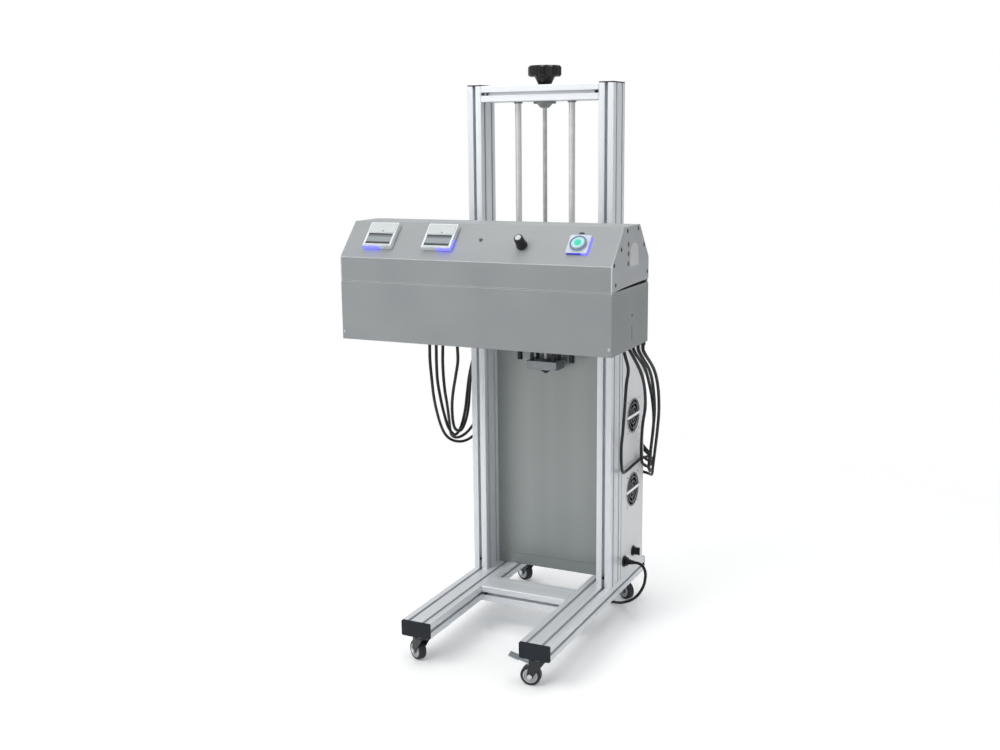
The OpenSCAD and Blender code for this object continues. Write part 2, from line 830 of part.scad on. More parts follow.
// Lower box of the sealing head, folded inwards at the bottom and at the top
module head_lower_box() {
    color("#9A9FA0") difference() {
        block(-half_head, half_head, head_y0, head_y1, head_z, box_z1);
        block(sheet - half_head, half_head - sheet, head_y0 + sheet, head_y1 - sheet,
              head_z + sheet, box_z1 - sheet);
        block(bottom_flange - half_head, half_head - bottom_flange, head_y0 + bottom_flange,
              head_y1 - sheet - gland_flange, head_z - overrun, head_z + sheet + overrun);
        block(top_flange - half_head, half_head - top_flange, head_y0 + top_flange,
              head_y1 - sheet - board_flange, box_z1 - sheet - overrun, box_z1 + overrun);
        for (spot = gland_spots)
            hole_z(spot[0], spot[1], head_z - overrun, head_z + sheet + overrun,
                   gland_stub_d + gland_room);
        for (spot = grommet_spots)
            hole_z(spot[0], spot[1], head_z - overrun, head_z + sheet + overrun,
                   grommet_neck_d + gland_room);
        translate([half_head - sheet - overrun, head_y1 - key_forward, head_z + key_hole_z])
            rotate([0, 90, 0]) cylinder(h = sheet + 2 * overrun, d = key_hole_d);
        block(half_head - sheet - overrun, half_head + overrun,
              head_y1 - key_forward - key_slot_w / 2, head_y1 - key_forward + key_slot_w / 2,
              head_z + key_slot_z, head_z + key_slot_z + key_slot_l);
    }
}
gland_spots = [for (route = left_routes) [route[0][0], route[0][1]]];
grommet_spots = [for (route = right_routes) [route[0][0], route[0][1]]];

// Cover: one sheet folded along the head's width
cover_corners = [
    [head_y1 - cover_flange, cover_z0], [head_y1, cover_z0], [head_y1, cover_z0 + cover_back_h],
    [head_y0 + slope_run + top_run, cover_z0 + cover_h], [head_y0 + slope_run, cover_z0 + cover_h],
    [head_y0, crease_z], [head_y0, cover_z0], [head_y0 + cover_flange, cover_z0]
];
function left_normal(a, b) = unit([a[1] - b[1], b[0] - a[0]]);
function inner_corner(path, i, t) =
    let (
        last = len(path) - 1,
        before = left_normal(path[max(i - 1, 0)], path[max(i, 1)]),
        after = left_normal(path[min(i, last - 1)], path[min(i + 1, last)])
    ) path[i] + t * (before + after) / (1 + before * after);
module folded(path, t) {
    polygon(concat(path, [for (i = [len(path) - 1:-1:0]) inner_corner(path, i, t)]));
}
// Local frame of the sloping panel: Y climbs the slope and Z stands out of it
module on_slope(x, up) {
    translate([0, head_y0, crease_z]) rotate([slope_angle, 0, 0]) translate([x, up, 0]) children();
}
module through_slope(h = sheet) {
    translate([0, 0, -h - overrun]) linear_extrude(h + 2 * overrun) children();
}
module upper_cover() {
    color("#AEB0B0") difference() {
        along_x(sheet - half_head, half_head - sheet) folded(cover_corners, sheet);
        for (x = [-meter_left_x, -meter_right_x]) on_slope(x, meter_up) through_slope()
            square([meter_body_w + 2 * cut_room, meter_body_h + 2 * cut_room], center = true);
        on_slope(lamp_x, lamp_up) through_slope() circle(d = lamp_body_d + cut_room);
        on_slope(power_knob_x, pot_up) through_slope() circle(d = pot_thread_d + cut_room);
        on_slope(start_x, start_up) through_slope() circle(d = start_body_d + cut_room);
    }
}
module end_plate(rise) {
    along_x(half_head - sheet, half_head) polygon([
        [head_y0, cover_z0], [head_y1, cover_z0 + rise], [head_y1, cover_z0 + cover_back_h],
        [head_y0 + slope_run + top_run, cover_z0 + cover_h],
        [head_y0 + slope_run, cover_z0 + cover_h], [head_y0, crease_z]
    ]);
}
module end_plates() {
    color("#A4A8A8") {
        end_plate(seam_rise_right);
        mirror([1, 0, 0]) end_plate(0);
    }
}
module cover_seal() {
    color("#1E1F20") {
        difference() {
            block(seal_inset - half_head, half_head - seal_inset, head_y0 + seal_inset,
                  head_y1 - seal_inset, box_z1, cover_z0);
            block(seal_inset + seal_w - half_head, half_head - seal_inset - seal_w,
                  head_y0 + seal_inset + seal_w, head_y1 - seal_inset - seal_w, box_z1 - overrun,
                  cover_z0 + overrun);
        }
        mirrored_x() block(half_head - sheet - seal_upstand_t, half_head - sheet,
                           head_y0 + cover_flange + seal_w, head_y1 - cover_flange - seal_w,
                           cover_z0, cover_z0 + seal_upstand_h);
    }
}

// Inside the sealing head
module sealing_plate() {
    color("#E4E2D6") block(sheet + plate_room - half_head, half_head - sheet - plate_room,
                           plate_y0, plate_y1, plate_z0, plate_z1);
}
module induction_coil() {
    color("#B5713B") translate([0, (plate_y0 + plate_y1) / 2, plate_z1]) linear_extrude(coil_t)
        difference() {
            racetrack(coil_w, coil_d);
            racetrack(coil_w - 2 * coil_band, coil_d - 2 * coil_band);
        }
}
module racetrack(w, h) {
    square([w - h, h], center = true);
    for (x = [-1, 1]) translate([x * (w - h) / 2, 0]) circle(d = h);
}
module ferrite_cores() {
    color("#3B3B3D") for (i = [0:core_count - 1])
        translate([(coil_w - coil_d) * (i / (core_count - 1) - 1 / 2),
                   (plate_y0 + plate_y1) / 2, plate_z1 + coil_t])
            linear_extrude(core_t) square([core_w, core_l], center = true);
}
module control_board() {
    board_y = head_y1 - sheet - board_back - board_d / 2;
    board_z = box_z1 + standoff_h;
    color("#2F6B46") {
        translate([0, board_y, board_z]) linear_extrude(board_t)
            square([board_w, board_d], center = true);
        for (x = [-1, 1], y = [-1, 1])
            hole_z(x * (board_w / 2 - board_edge), board_y + y * (board_d / 2 - board_edge),
                   box_z1, board_z, standoff_d);
        translate([-board_w / 4, board_y, board_z + board_t]) linear_extrude(trafo_h)
            square([trafo_w, trafo_d], center = true);
        hole_z(board_w / 4, board_y, board_z + board_t, board_z + board_t + can_h, can_d);
    }
}

// Control panel
module panel_meters() {
    color("#8B8F90") for (x = [-meter_left_x, -meter_right_x]) on_slope(x, meter_up)
        difference() {
            union() {
                linear_extrude(meter_t) rounded(meter_w, meter_h, meter_corner_r);
                translate([0, 0, -meter_body_t]) linear_extrude(meter_body_t)
                    square([meter_body_w, meter_body_h], center = true);
            }
            translate([0, -window_down, meter_t - pocket_t]) linear_extrude(pocket_t + overrun)
                square([window_w, window_h], center = true);
        }
}
module meter_windows() {
    color("#14181C") for (x = [-meter_left_x, -meter_right_x])
        on_slope(x, meter_up - window_down) translate([0, 0, meter_t - pocket_t])
            linear_extrude(window_t)
                square([window_w - 2 * fit, window_h - 2 * fit], center = true);
}
module panel_fittings() {
    color("#3C4043") {
        on_slope(lamp_x, lamp_up) {
            cylinder(h = lamp_rim_t, d = lamp_rim_d);
            translate([0, 0, -lamp_body_l]) cylinder(h = lamp_body_l, d = lamp_body_d);
            translate([0, 0, lamp_rim_t]) cylinder(h = lamp_dome_d / 2, d = lamp_dome_d);
        }
        on_slope(power_knob_x, pot_up) difference() {
            union() {
                cylinder(h = pot_nut_t, d = pot_nut_d);
                translate([0, 0, -pot_thread_l]) cylinder(h = pot_thread_l, d = pot_thread_d);
                translate([0, 0, -pot_thread_l - pot_can_t]) cylinder(h = pot_can_t, d = pot_can_d);
            }
            translate([0, 0, -shaft_in - gap])
                cylinder(h = shaft_in + gap + pot_nut_t + overrun, d = shaft_d + 2 * fit);
        }
        on_slope(start_x, start_up) difference() {
            union() {
                linear_extrude(start_plate_t) rounded(start_side, start_side, start_corner_r);
                translate([0, 0, start_plate_t]) cylinder(h = start_collar_h, d = start_collar_d);
                translate([0, 0, -start_body_l]) cylinder(h = start_body_l, d = start_body_d);
            }
            translate([0, 0, -start_well])
                cylinder(h = start_well + start_plate_t + start_collar_h + overrun,
                         d = start_d + 2 * gap);
        }
    }
}
module power_knob() {
    color("#232527") on_slope(power_knob_x, pot_up) {
        translate([0, 0, -shaft_in]) cylinder(h = shaft_in + pot_nut_t + gap + overrun, d = shaft_d);
        translate([0, 0, pot_nut_t + gap]) difference() {
            rotate_extrude() polygon([
                [0, 0], [power_skirt_d / 2, 0], [power_skirt_d / 2, power_skirt_t],
                [power_knob_d / 2, power_skirt_t + power_edge],
                [power_knob_d / 2 - power_edge, power_knob_h - power_edge],
                [power_knob_d / 2 - 2 * power_edge, power_knob_h], [0, power_knob_h]
            ]);
            translate([-pointer_w / 2, shaft_d / 2, power_knob_h - pointer_w])
                cube([pointer_w, power_knob_d, power_knob_h]);
        }
    }
}
module start_button() {
    color("#2BB3B0") on_slope(start_x, start_up) translate([0, 0, -start_foot])
        rotate_extrude() polygon([
            [0, 0], [start_d / 2, 0], [start_d / 2, start_foot + start_head_h - start_edge],
            [start_d / 2 - start_edge, start_foot + start_head_h], [0, start_foot + start_head_h]
        ]);
}

// Glands: a dome below the sheet, a stub through it and a nut behind it
module gland() {
    translate([0, 0, -gland_hex_h]) mirror([0, 0, 1])
        cylinder(h = gland_h - gland_hex_h, d1 = gland_d, d2 = cable_d + gland_nut_t);
    translate([0, 0, -gland_hex_h]) cylinder(h = gland_hex_h, d = gland_d);
    cylinder(h = sheet + gland_nut_t, d = gland_stub_d);
    translate([0, 0, sheet]) cylinder(h = gland_nut_t, d = gland_nut_d);
}
module grommet() {
    translate([0, 0, -grommet_h]) cylinder(h = grommet_h, d = grommet_d);
    cylinder(h = sheet, d = grommet_neck_d);
    translate([0, 0, sheet]) cylinder(h = grommet_back_t, d = grommet_back_d);
}
module head_glands() {
    color("#1A1B1C") {
        for (spot = gland_spots) translate([spot[0], spot[1], head_z]) gland();
        for (spot = grommet_spots) translate([spot[0], spot[1], head_z]) grommet();
    }
}
side_gland_spots = [for (route = left_routes) let (p = route[len(route) - 1]) [p[1], p[2]]];
back_gland_spots = [for (route = right_routes) let (p = route[len(route) - 1]) [p[0], p[2]]];
module cabinet_glands() {
    color("#1A1B1C") {
        for (spot = side_gland_spots)
            translate([-half_w, spot[0], spot[1]]) rotate([0, 90, 0]) gland();
        for (spot = back_gland_spots)
            translate([spot[0], cabinet_y1, spot[1]]) rotate([90, 0, 0]) gland();
    }
}

// Cabinet
module cabinet_shell() {
    color("#CDD3D6") difference() {
        union() {
            block(-half_w, half_w, cabinet_y0 + sheet, cabinet_y1, leg_z1, cabinet_z1);
            block(-half_w, half_w, cabinet_y0, cabinet_y0 + sheet, leg_z1, leg_z1 + sill_h);
        }
        block(sheet - half_w, half_w - sheet, cabinet_y0 + 2 * sheet, cabinet_y1 - sheet,
              leg_z1 + sheet, cabinet_z1 - sheet);
        block(frame_lip - half_w, half_w - frame_lip, cabinet_y0 + sheet - overrun,
              cabinet_y0 + 2 * sheet + overrun, leg_z1 + sill_h + frame_lip,
              cabinet_z1 - frame_lip);
        for (z = fan_zs) translate([half_w - sheet - overrun, fan_y, z]) rotate([0, 90, 0])
            cylinder(h = sheet + 2 * overrun, d = fan_d);
        for (spot = side_gland_spots) translate([-half_w - overrun, spot[0], spot[1]])
            rotate([0, 90, 0]) cylinder(h = sheet + 2 * overrun, d = gland_stub_d + gland_room);
        for (spot = back_gland_spots) translate([spot[0], cabinet_y1 + overrun, spot[1]])
            rotate([90, 0, 0]) cylinder(h = sheet + 2 * overrun, d = gland_stub_d + gland_room);
    }
}
module cabinet_front_panel() {
    color("#A2A8A6") block(-half_w, half_w, cabinet_y0, cabinet_y0 + sheet, panel_z0, cabinet_z1);
}

// Fans: local Z points out of the cabinet's right side
module at_fan(i) {
    translate([half_w - sheet, fan_y, fan_zs[i]]) rotate([0, 90, 0]) children();
}
module fan_frame() {
    difference() {
        translate([0, 0, -fan_t]) linear_extrude(fan_t) rounded(fan_side, fan_side, fan_corner_r);
        translate([0, 0, motor_t - fan_t]) cylinder(h = fan_t, d = fan_d);
        difference() {
            translate([0, 0, -fan_t - overrun]) cylinder(h = fan_t, d = fan_d);
            translate([0, 0, -fan_t - 2 * overrun]) {
                cylinder(h = fan_t, d = motor_d);
                linear_extrude(fan_t) {
                    square([fan_side, strut_w], center = true);
                    square([strut_w, fan_side], center = true);
                }
            }
        }
    }
    translate([0, 0, motor_t - fan_t]) cylinder(h = fan_pin_l, d = fan_pin_d);
}
module fan_frames() {
    color("#2A2C2E") for (i = [0, 1]) at_fan(i) fan_frame();
}
module fan_rotor() {
    translate([0, 0, motor_t - fan_t + hub_room]) {
        difference() {
            cylinder(h = hub_l, d = hub_d);
            translate([0, 0, -overrun])
                cylinder(h = fan_pin_l - hub_room + gap + overrun, d = fan_pin_d + 2 * fit);
        }
        intersection() {
            for (i = [0:blade_count - 1]) rotate(360 * i / blade_count)
                translate([hub_d / 4, 0, hub_l / 2]) rotate([blade_pitch, 0, 0])
                    translate([0, -blade_w / 2, -blade_t / 2])
                        cube([fan_d / 2, blade_w, blade_t]);
            difference() {
                cylinder(h = hub_l, d = fan_d * blade_share);
                translate([0, 0, -overrun]) cylinder(h = hub_l + 2 * overrun, d = hub_d - overrun);
            }
        }
    }
}
module fan_rotor_upper() {
    color("#1D1F21") at_fan(0) fan_rotor();
}
module fan_rotor_lower() {
    color("#1D1F21") at_fan(1) fan_rotor();
}
module fan_guard() {
    outer = fan_d / 2 + guard_land;
    step = outer / guard_ring_count;
    translate([0, 0, sheet]) {
        for (i = [1:guard_ring_count]) difference() {
            cylinder(h = guard_wire, r = i * step);
            translate([0, 0, -overrun])
                cylinder(h = guard_wire + 2 * overrun,
                         r = i * step - guard_wire * (i < guard_ring_count ? 1 : 2));
        }
        linear_extrude(guard_wire) {
            square([guard_bar, 2 * outer - guard_wire], center = true);
            square([2 * outer - guard_wire, guard_wire], center = true);
        }
    }
}
module fan_guards() {
    color("#B7BBBE") for (i = [0, 1]) at_fan(i) fan_guard();
}

// Mains inlet and switch on the right side; local Z points out
module at_inlet() {
    translate([half_w, cabinet_y0 + inlet_in, leg_z1 + inlet_up]) rotate([0, 90, 0]) children();
}
module at_switch() {
    translate([half_w, cabinet_y0 + switch_in, leg_z1 + switch_up]) rotate([0, 90, 0]) children();
}
module mains_fittings() {
    color("#202224") {
        at_inlet() cylinder(h = inlet_rim_t, d = inlet_rim_d);
        at_switch() difference() {
            cylinder(h = switch_rim_t, d = switch_rim_d);
            translate([0, 0, switch_rim_t + gap - switch_shaft_l / 3])
                cylinder(h = switch_shaft_l, d = shaft_d + 2 * fit);
        }
    }
}
module mains_switch_knob() {
    color("#C6C9CB") at_switch() translate([0, 0, switch_rim_t + gap]) {
        cylinder(h = switch_knob_t, d = switch_knob_d);
        translate([0, 0, gap - switch_shaft_l / 3])
            cylinder(h = switch_shaft_l / 3, d = shaft_d);
        translate([0, 0, switch_knob_t]) linear_extrude(switch_grip_h) intersection() {
            square([switch_knob_d, switch_grip_w], center = true);
            circle(d = switch_knob_d);
        }
    }
}
module inlet_connector() {
    color("#1A1B1C") at_inlet() translate([0, 0, inlet_rim_t]) {
        cylinder(h = connector_l, d = connector_d);
        translate([0, 0, connector_l])
            cylinder(h = relief_l - overrun, d1 = relief_d, d2 = cord_d + overrun);
    }
}
module inverter_unit() {
    unit_y = (cabinet_y0 + cabinet_y1) / 2;
    fin_pitch = unit_w / unit_fin_count;
    color("#B0B4B8") translate([0, unit_y, leg_z1 + sheet]) difference() {
        linear_extrude(unit_h) square([unit_w, unit_d], center = true);
        for (i = [0:unit_fin_count - 1])
            translate([fin_pitch * (i + 1 / 2) - unit_w / 2, unit_d / 2, 0])
                translate([unit_fin_t / 2 - fin_pitch / 2, -unit_fin_d, -overrun])
                    cube([fin_pitch - unit_fin_t, unit_fin_d + overrun, unit_h + 2 * overrun]);
    }
}

// Cables and the mains cord
module left_cables() {
    color("#15171A") for (route = left_routes) tube(route, cable_d, cable_sides, [1, 0, 0]);
}
module right_cables() {
    color("#15171A") for (route = right_routes) tube(route, cable_d, cable_sides, [1, 0, 0]);
}
module mains_cord() {
    color("#15171A") tube(mains_route, cord_d, cord_sides);
}
module mains_cord_coil() {
    color("#15171A") tube(concat([coil_start], coil_path, [tail_end]), cord_d, loop_sides);
}
module mains_plug() {
    plug_r = coil_end[2];
    color("#1A1B1C") translate(tail_end) rotate([0, -90, 0]) {
        cylinder(h = plug_relief_l, d1 = cord_d + overrun, d2 = plug_relief_d);
        translate([0, 0, plug_relief_l]) rotate_extrude() polygon([
            [0, 0], [plug_r - plug_edge, 0], [plug_r, plug_edge], [plug_r, plug_l], [0, plug_l]
        ]);
        for (side = [-1, 1]) translate([0, side * plug_pin_pitch / 2, plug_relief_l + plug_l])
            cylinder(h = plug_pin_l, d = plug_pin_d);
    }
}

// Casters: each has its own frame, with its trail along X
module at_caster(i) {
    translate([caster_spots[i][0], caster_spots[i][1], 0]) rotate(caster_yaws[i]) children();
}
module caster_plates() {
    color("#B9BDC0") for (spot = caster_spots) translate([spot[0], spot[1], 0]) {
        translate([0, 0, caster_h - mount_t]) linear_extrude(mount_t)
            rounded(mount_w, mount_d, mount_corner_r);
        translate([0, 0, crown_z1 + gap]) cylinder(h = raceway_h, d = raceway_d);
        translate([0, 0, crown_z0 - gap]) cylinder(h = crown_t + 2 * gap, d = kingpin_d);
        translate([0, 0, crown_z0 - gap - kingpin_head_t])
            cylinder(h = kingpin_head_t, d = kingpin_head_d);
    }
}
arm_y = wheel_w / 2 + arm_room;
module fork_arm() {
    difference() {
        along_y(arm_y, arm_y + arm_t) {
            polygon([
                [-arm_back, crown_z1], [arm_front, crown_z1], [arm_front, crown_z0],
                [caster_trail + eye_r, axle_z], [caster_trail - eye_r, axle_z],
                [-arm_back, crown_z0]
            ]);
            translate([caster_trail, axle_z]) circle(eye_r);
        }
        translate([0, arm_y - overrun, 0]) along_y(0, arm_t + 2 * overrun)
            translate([caster_trail, axle_z]) circle(d = axle_d + 2 * fit);
    }
}
module caster_fork(brake) {
    difference() {
        union() {
            translate([0, 0, crown_z0]) cylinder(h = crown_t, d = crown_d);
            fork_arm();
            mirror([0, 1, 0]) fork_arm();
        }
        hole_z(0, 0, crown_z0 - overrun, crown_z1 + overrun, kingpin_d + 2 * fit);
    }
    axle_reach = arm_y + arm_t;
    along_y(-axle_reach, axle_reach) translate([caster_trail, axle_z]) circle(d = axle_d);
    for (side = [0, 1]) mirror([0, side, 0])
        along_y(axle_reach, axle_reach + axle_head_t)
            translate([caster_trail, axle_z]) circle(d = axle_head_d);
    if (brake) along_y(-arm_y, arm_y) translate([brake_pin_x, brake_pin_z]) circle(d = brake_pin_d);
}
module caster_wheel() {
    tyre_r = wheel_d / 2;
    rim_r = tyre_r - tyre_t;
    half = wheel_w / 2;
    translate([caster_trail, 0, axle_z]) rotate([90, 0, 0]) {
        rotate_extrude() polygon([
            [rim_r + fit, -half], [tyre_r - tyre_edge, -half], [tyre_r, tyre_edge - half],
            [tyre_r, half - tyre_edge], [tyre_r - tyre_edge, half], [rim_r + fit, half]
        ]);
        rotate_extrude() polygon([
            [axle_d / 2 + fit, gap - arm_y], [hub_boss_d / 2, gap - arm_y],
            [hub_boss_d / 2, hub_waist - half], [rim_r - hub_rim, hub_waist - half],
            [rim_r - hub_rim, -half], [rim_r, -half], [rim_r, half], [rim_r - hub_rim, half],
            [rim_r - hub_rim, half - hub_waist], [hub_boss_d / 2, half - hub_waist],
            [hub_boss_d / 2, arm_y - gap], [axle_d / 2 + fit, arm_y - gap]
        ]);
    }
}
module brake_pedal() {
    half = arm_y - pedal_room;
    translate([brake_pin_x, 0, brake_pin_z]) difference() {
        union() {
            along_y(-half, half) {
                circle(pedal_eye_r);
                polygon([
                    [0, -pedal_t / 2], [pedal_flat, -pedal_t / 2], [pedal_flat, pedal_t / 2],
                    [0, pedal_t / 2]
                ]);
                polygon([
                    [shoe_from, -shoe_drop], [shoe_from + shoe_l, -shoe_drop],
                    [shoe_from + shoe_l, 0], [shoe_from, 0]
                ]);
                pedal_ramp(pedal_flat, pedal_reach);
            }
            along_y(-pedal_tip_w / 2, pedal_tip_w / 2)
                pedal_ramp(pedal_reach - pedal_tip_l, pedal_reach);
        }
        along_y(-half - overrun, half + overrun) circle(d = brake_pin_d + 2 * fit);
    }
}
function ramp_height(x) = pedal_rise * (x - pedal_flat) / (pedal_reach - pedal_flat);
module pedal_ramp(x0, x1) {
    polygon([
        [x0, ramp_height(x0) - pedal_t / 2], [x1, ramp_height(x1) - pedal_t / 2],
        [x1, ramp_height(x1) + pedal_t / 2], [x0, ramp_height(x0) + pedal_t / 2]
    ]);
}
module caster_fork_fl() {
    color("#1F2124") at_caster(0) caster_fork(true);
}
module caster_fork_fr() {
    color("#1F2124") at_caster(1) caster_fork(true);
}
module caster_fork_rl() {
    color("#1F2124") at_caster(2) caster_fork(false);
}
module caster_fork_rr() {
    color("#1F2124") at_caster(3) caster_fork(false);
}
module caster_wheel_fl() {
    color("#2B2D30") at_caster(0) caster_wheel();
}
module caster_wheel_fr() {
    color("#2B2D30") at_caster(1) caster_wheel();
}
module caster_wheel_rl() {
    color("#2B2D30") at_caster(2) caster_wheel();
}
module caster_wheel_rr() {
    color("#2B2D30") at_caster(3) caster_wheel();
}
module brake_pedal_fl() {
    color("#C3C7CA") at_caster(0) brake_pedal();
}
module brake_pedal_fr() {
    color("#C3C7CA") at_caster(1) brake_pedal();
}

left_upright();
right_upright();
upright_caps();
top_crossbar();
lower_crossbar();
base_crossbar();
left_leg();
right_leg();
leg_caps();
frame_fasteners();
guide_rods();
screw_top_bearing();
screw_lower_bearing();
caster_plates();
cabinet_shell();
cabinet_front_panel();
fan_frames();
fan_guards();
mains_fittings();
inverter_unit();
cabinet_glands();
left_cables();
right_cables();
inlet_connector();
mains_cord();
mains_cord_coil();
mains_plug();
lead_screw();
hand_knob();
carriage_block();
linear_bearings();
lead_nut();
head_arms();
head_lower_box();
upper_cover();
end_plates();
cover_seal();
sealing_plate();
ferrite_cores();
induction_coil();
control_board();
panel_meters();
meter_windows();
panel_fittings();
head_glands();
power_knob();
start_button();
mains_switch_knob();
fan_rotor_upper();
fan_rotor_lower();
caster_fork_fl();
caster_fork_fr();
caster_fork_rl();
caster_fork_rr();
caster_wheel_fl();
caster_wheel_fr();
caster_wheel_rl();
caster_wheel_rr();
brake_pedal_fl();
brake_pedal_fr();
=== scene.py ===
# %% [markdown]
# # An induction sealing machine, dressed for a studio picture
# The machine closes bottles by heating a foil under their caps. A wide sealing head rides on a
# lead screw between two slotted aluminium uprights, and a cabinet behind them holds the power stage.
# The shapes come packed as a frame of named nodes. This lesson adds what the frame can't carry:
# cables, screws, threads, lit displays, and a finish for every surface.

# %% Load the imported frame
from math import atan2, copysign, cos, pi, radians, sin

import bpy
from mathutils import Matrix, Vector


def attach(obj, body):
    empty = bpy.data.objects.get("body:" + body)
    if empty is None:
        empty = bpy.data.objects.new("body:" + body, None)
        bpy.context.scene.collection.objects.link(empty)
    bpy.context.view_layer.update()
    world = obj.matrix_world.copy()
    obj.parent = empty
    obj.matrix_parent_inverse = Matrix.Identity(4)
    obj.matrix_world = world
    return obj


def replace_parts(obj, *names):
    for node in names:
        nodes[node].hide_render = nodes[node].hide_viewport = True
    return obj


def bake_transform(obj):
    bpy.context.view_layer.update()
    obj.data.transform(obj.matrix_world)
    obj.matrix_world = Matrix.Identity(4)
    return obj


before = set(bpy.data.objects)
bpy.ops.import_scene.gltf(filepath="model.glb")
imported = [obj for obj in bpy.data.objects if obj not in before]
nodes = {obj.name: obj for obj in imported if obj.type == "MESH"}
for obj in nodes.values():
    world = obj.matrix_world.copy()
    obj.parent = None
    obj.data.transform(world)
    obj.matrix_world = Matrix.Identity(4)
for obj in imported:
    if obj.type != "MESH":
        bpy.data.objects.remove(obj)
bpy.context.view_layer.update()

# %% [markdown]
# Real sizes are easiest to check in millimetres, and Blender works in metres, so one small function
# turns a length or a point. Colours are written as the sRGB hex values that a picture editor
# shows, and another function turns them to the linear values that a shader needs.

# %% Units and colours
MM = 0.001


def mm(*lengths):
    """One length, or a point, from millimetres to metres."""
    turned = [length * MM for length in lengths]
    return turned[0] if len(turned) == 1 else Vector(turned)


def srgb(hex_colour):
    """An sRGB hex colour as linear red, green, blue and alpha."""
    parts = [int(hex_colour[i : i + 2], 16) / 255 for i in (1, 3, 5)]
    return [c / 12.92 if c <= 0.04045 else ((c + 0.055) / 1.055) ** 2.4 for c in parts] + [1.0]


print("middle grey in linear light:", round(srgb("#808080")[0], 3))

# %% [markdown]
# The camera was solved from the machine's own straight edges: it stands to the right of the
# machine, a little above its head, and looks slightly down. Its turn, tilt and roll are written as
# angles, and the lens as a focal length on a full-frame sensor.

# %% Camera
CAMERA_PLACE = mm(1235.2, -2733.5, 1287.0)
CAMERA_TURN = radians(25.79)
CAMERA_TILT = radians(11.29)
CAMERA_ROLL = radians(-0.61)
CAMERA_LENS_MM, CAMERA_FILM_MM = 42.94, 36
CAMERA_SEES_TO = 60


def new_object(name, data):
    """A new object in the scene."""
    made = bpy.data.objects.new(name, data)
    bpy.context.scene.collection.objects.link(made)
    return made


camera = new_object("camera", bpy.data.cameras.new("camera"))
camera.matrix_world = (Matrix.Translation(CAMERA_PLACE) @ Matrix.Rotation(CAMERA_TURN, 4, "Z")
                       @ Matrix.Rotation(pi / 2 - CAMERA_TILT, 4, "X")
                       @ Matrix.Rotation(CAMERA_ROLL, 4, "Z"))
camera.data.lens, camera.data.sensor_width = CAMERA_LENS_MM, CAMERA_FILM_MM
camera.data.clip_end = CAMERA_SEES_TO
bpy.context.scene.camera = camera
print("camera stands", round(CAMERA_PLACE.length, 2), "m from the middle of the footprint")

# %% [markdown]
# A mesh is made from plain lists of corners and faces. One function does that for every piece of
# the lesson. Most pieces are rings of corners, one after another, so two more functions make the
# faces between two rings and the flat ends.

# %% Mesh helpers
def make_mesh(name, corners, faces):
    """A new smooth object from corners in metres and faces as corner numbers."""
    mesh = bpy.data.meshes.new(name)
    mesh.from_pydata([tuple(c) for c in corners], [], faces)
    mesh.validate()
    mesh.update()
    for face in mesh.polygons:
        face.use_smooth = True
    return new_object(name, mesh)


def bridge(low, high, count):
    """Faces between two rings with count corners each, given by their first corners' numbers."""
    return [(low + k, low + (k + 1) % count, high + (k + 1) % count, high + k) for k in range(count)]


def flat_ends(first, last, count):
    """Two faces that close a row of rings, given by the first corners of its end rings."""
    return [tuple(reversed(range(first, first + count))), tuple(range(last, last + count))]


# %% [markdown]
# A cable is a fixed length of something round and limp. Its route is a short list of given points,
# the same as in the part's source; a Catmull-Rom curve runs smoothly through them. The
# tube is swept along that curve with a ring of corners that never twists, because each ring's
# sideways direction is carried on from the ring before.

# %% Smooth routes and tubes
def smooth_route(points, step=0.006):
    """Points on a smooth curve through the given points, about one step apart."""
    ends = [points[0] * 2 - points[1]] + points + [points[-1] * 2 - points[-2]]
    made = []
    for a, b, c, d in zip(ends, ends[1:], ends[2:], ends[3:]):
        count = max(2, round((c - b).length / step))
        for i in range(count):
            t = i / count
            made.append(0.5 * (2 * b + (c - a) * t + (2 * a - 5 * b + 4 * c - d) * t**2
                               + (3 * b - 3 * c + d - a) * t**3))
    return made + [points[-1]]


def route_length(route):
    """The length of a route, in metres."""
    return sum((b - a).length for a, b in zip(route, route[1:]))


def sweep_tube(name, route, diameter, sides=12):
    """A closed round tube along a route."""
    side, corners = Vector((1, 0, 0)), []
    for i, point in enumerate(route):
        ahead = (route[min(i + 1, len(route) - 1)] - route[max(i - 1, 0)]).normalized()
        side = (side - ahead * side.dot(ahead)).normalized()
        other = ahead.cross(side)
        for k in range(sides):
            turn = 2 * pi * k / sides
            corners.append(point + (side * cos(turn) + other * sin(turn)) * diameter / 2)
    last = (len(route) - 1) * sides
    faces = [face for low in range(0, last, sides) for face in bridge(low, low + sides, sides)]
    return make_mesh(name, corners, faces + flat_ends(0, last, sides))
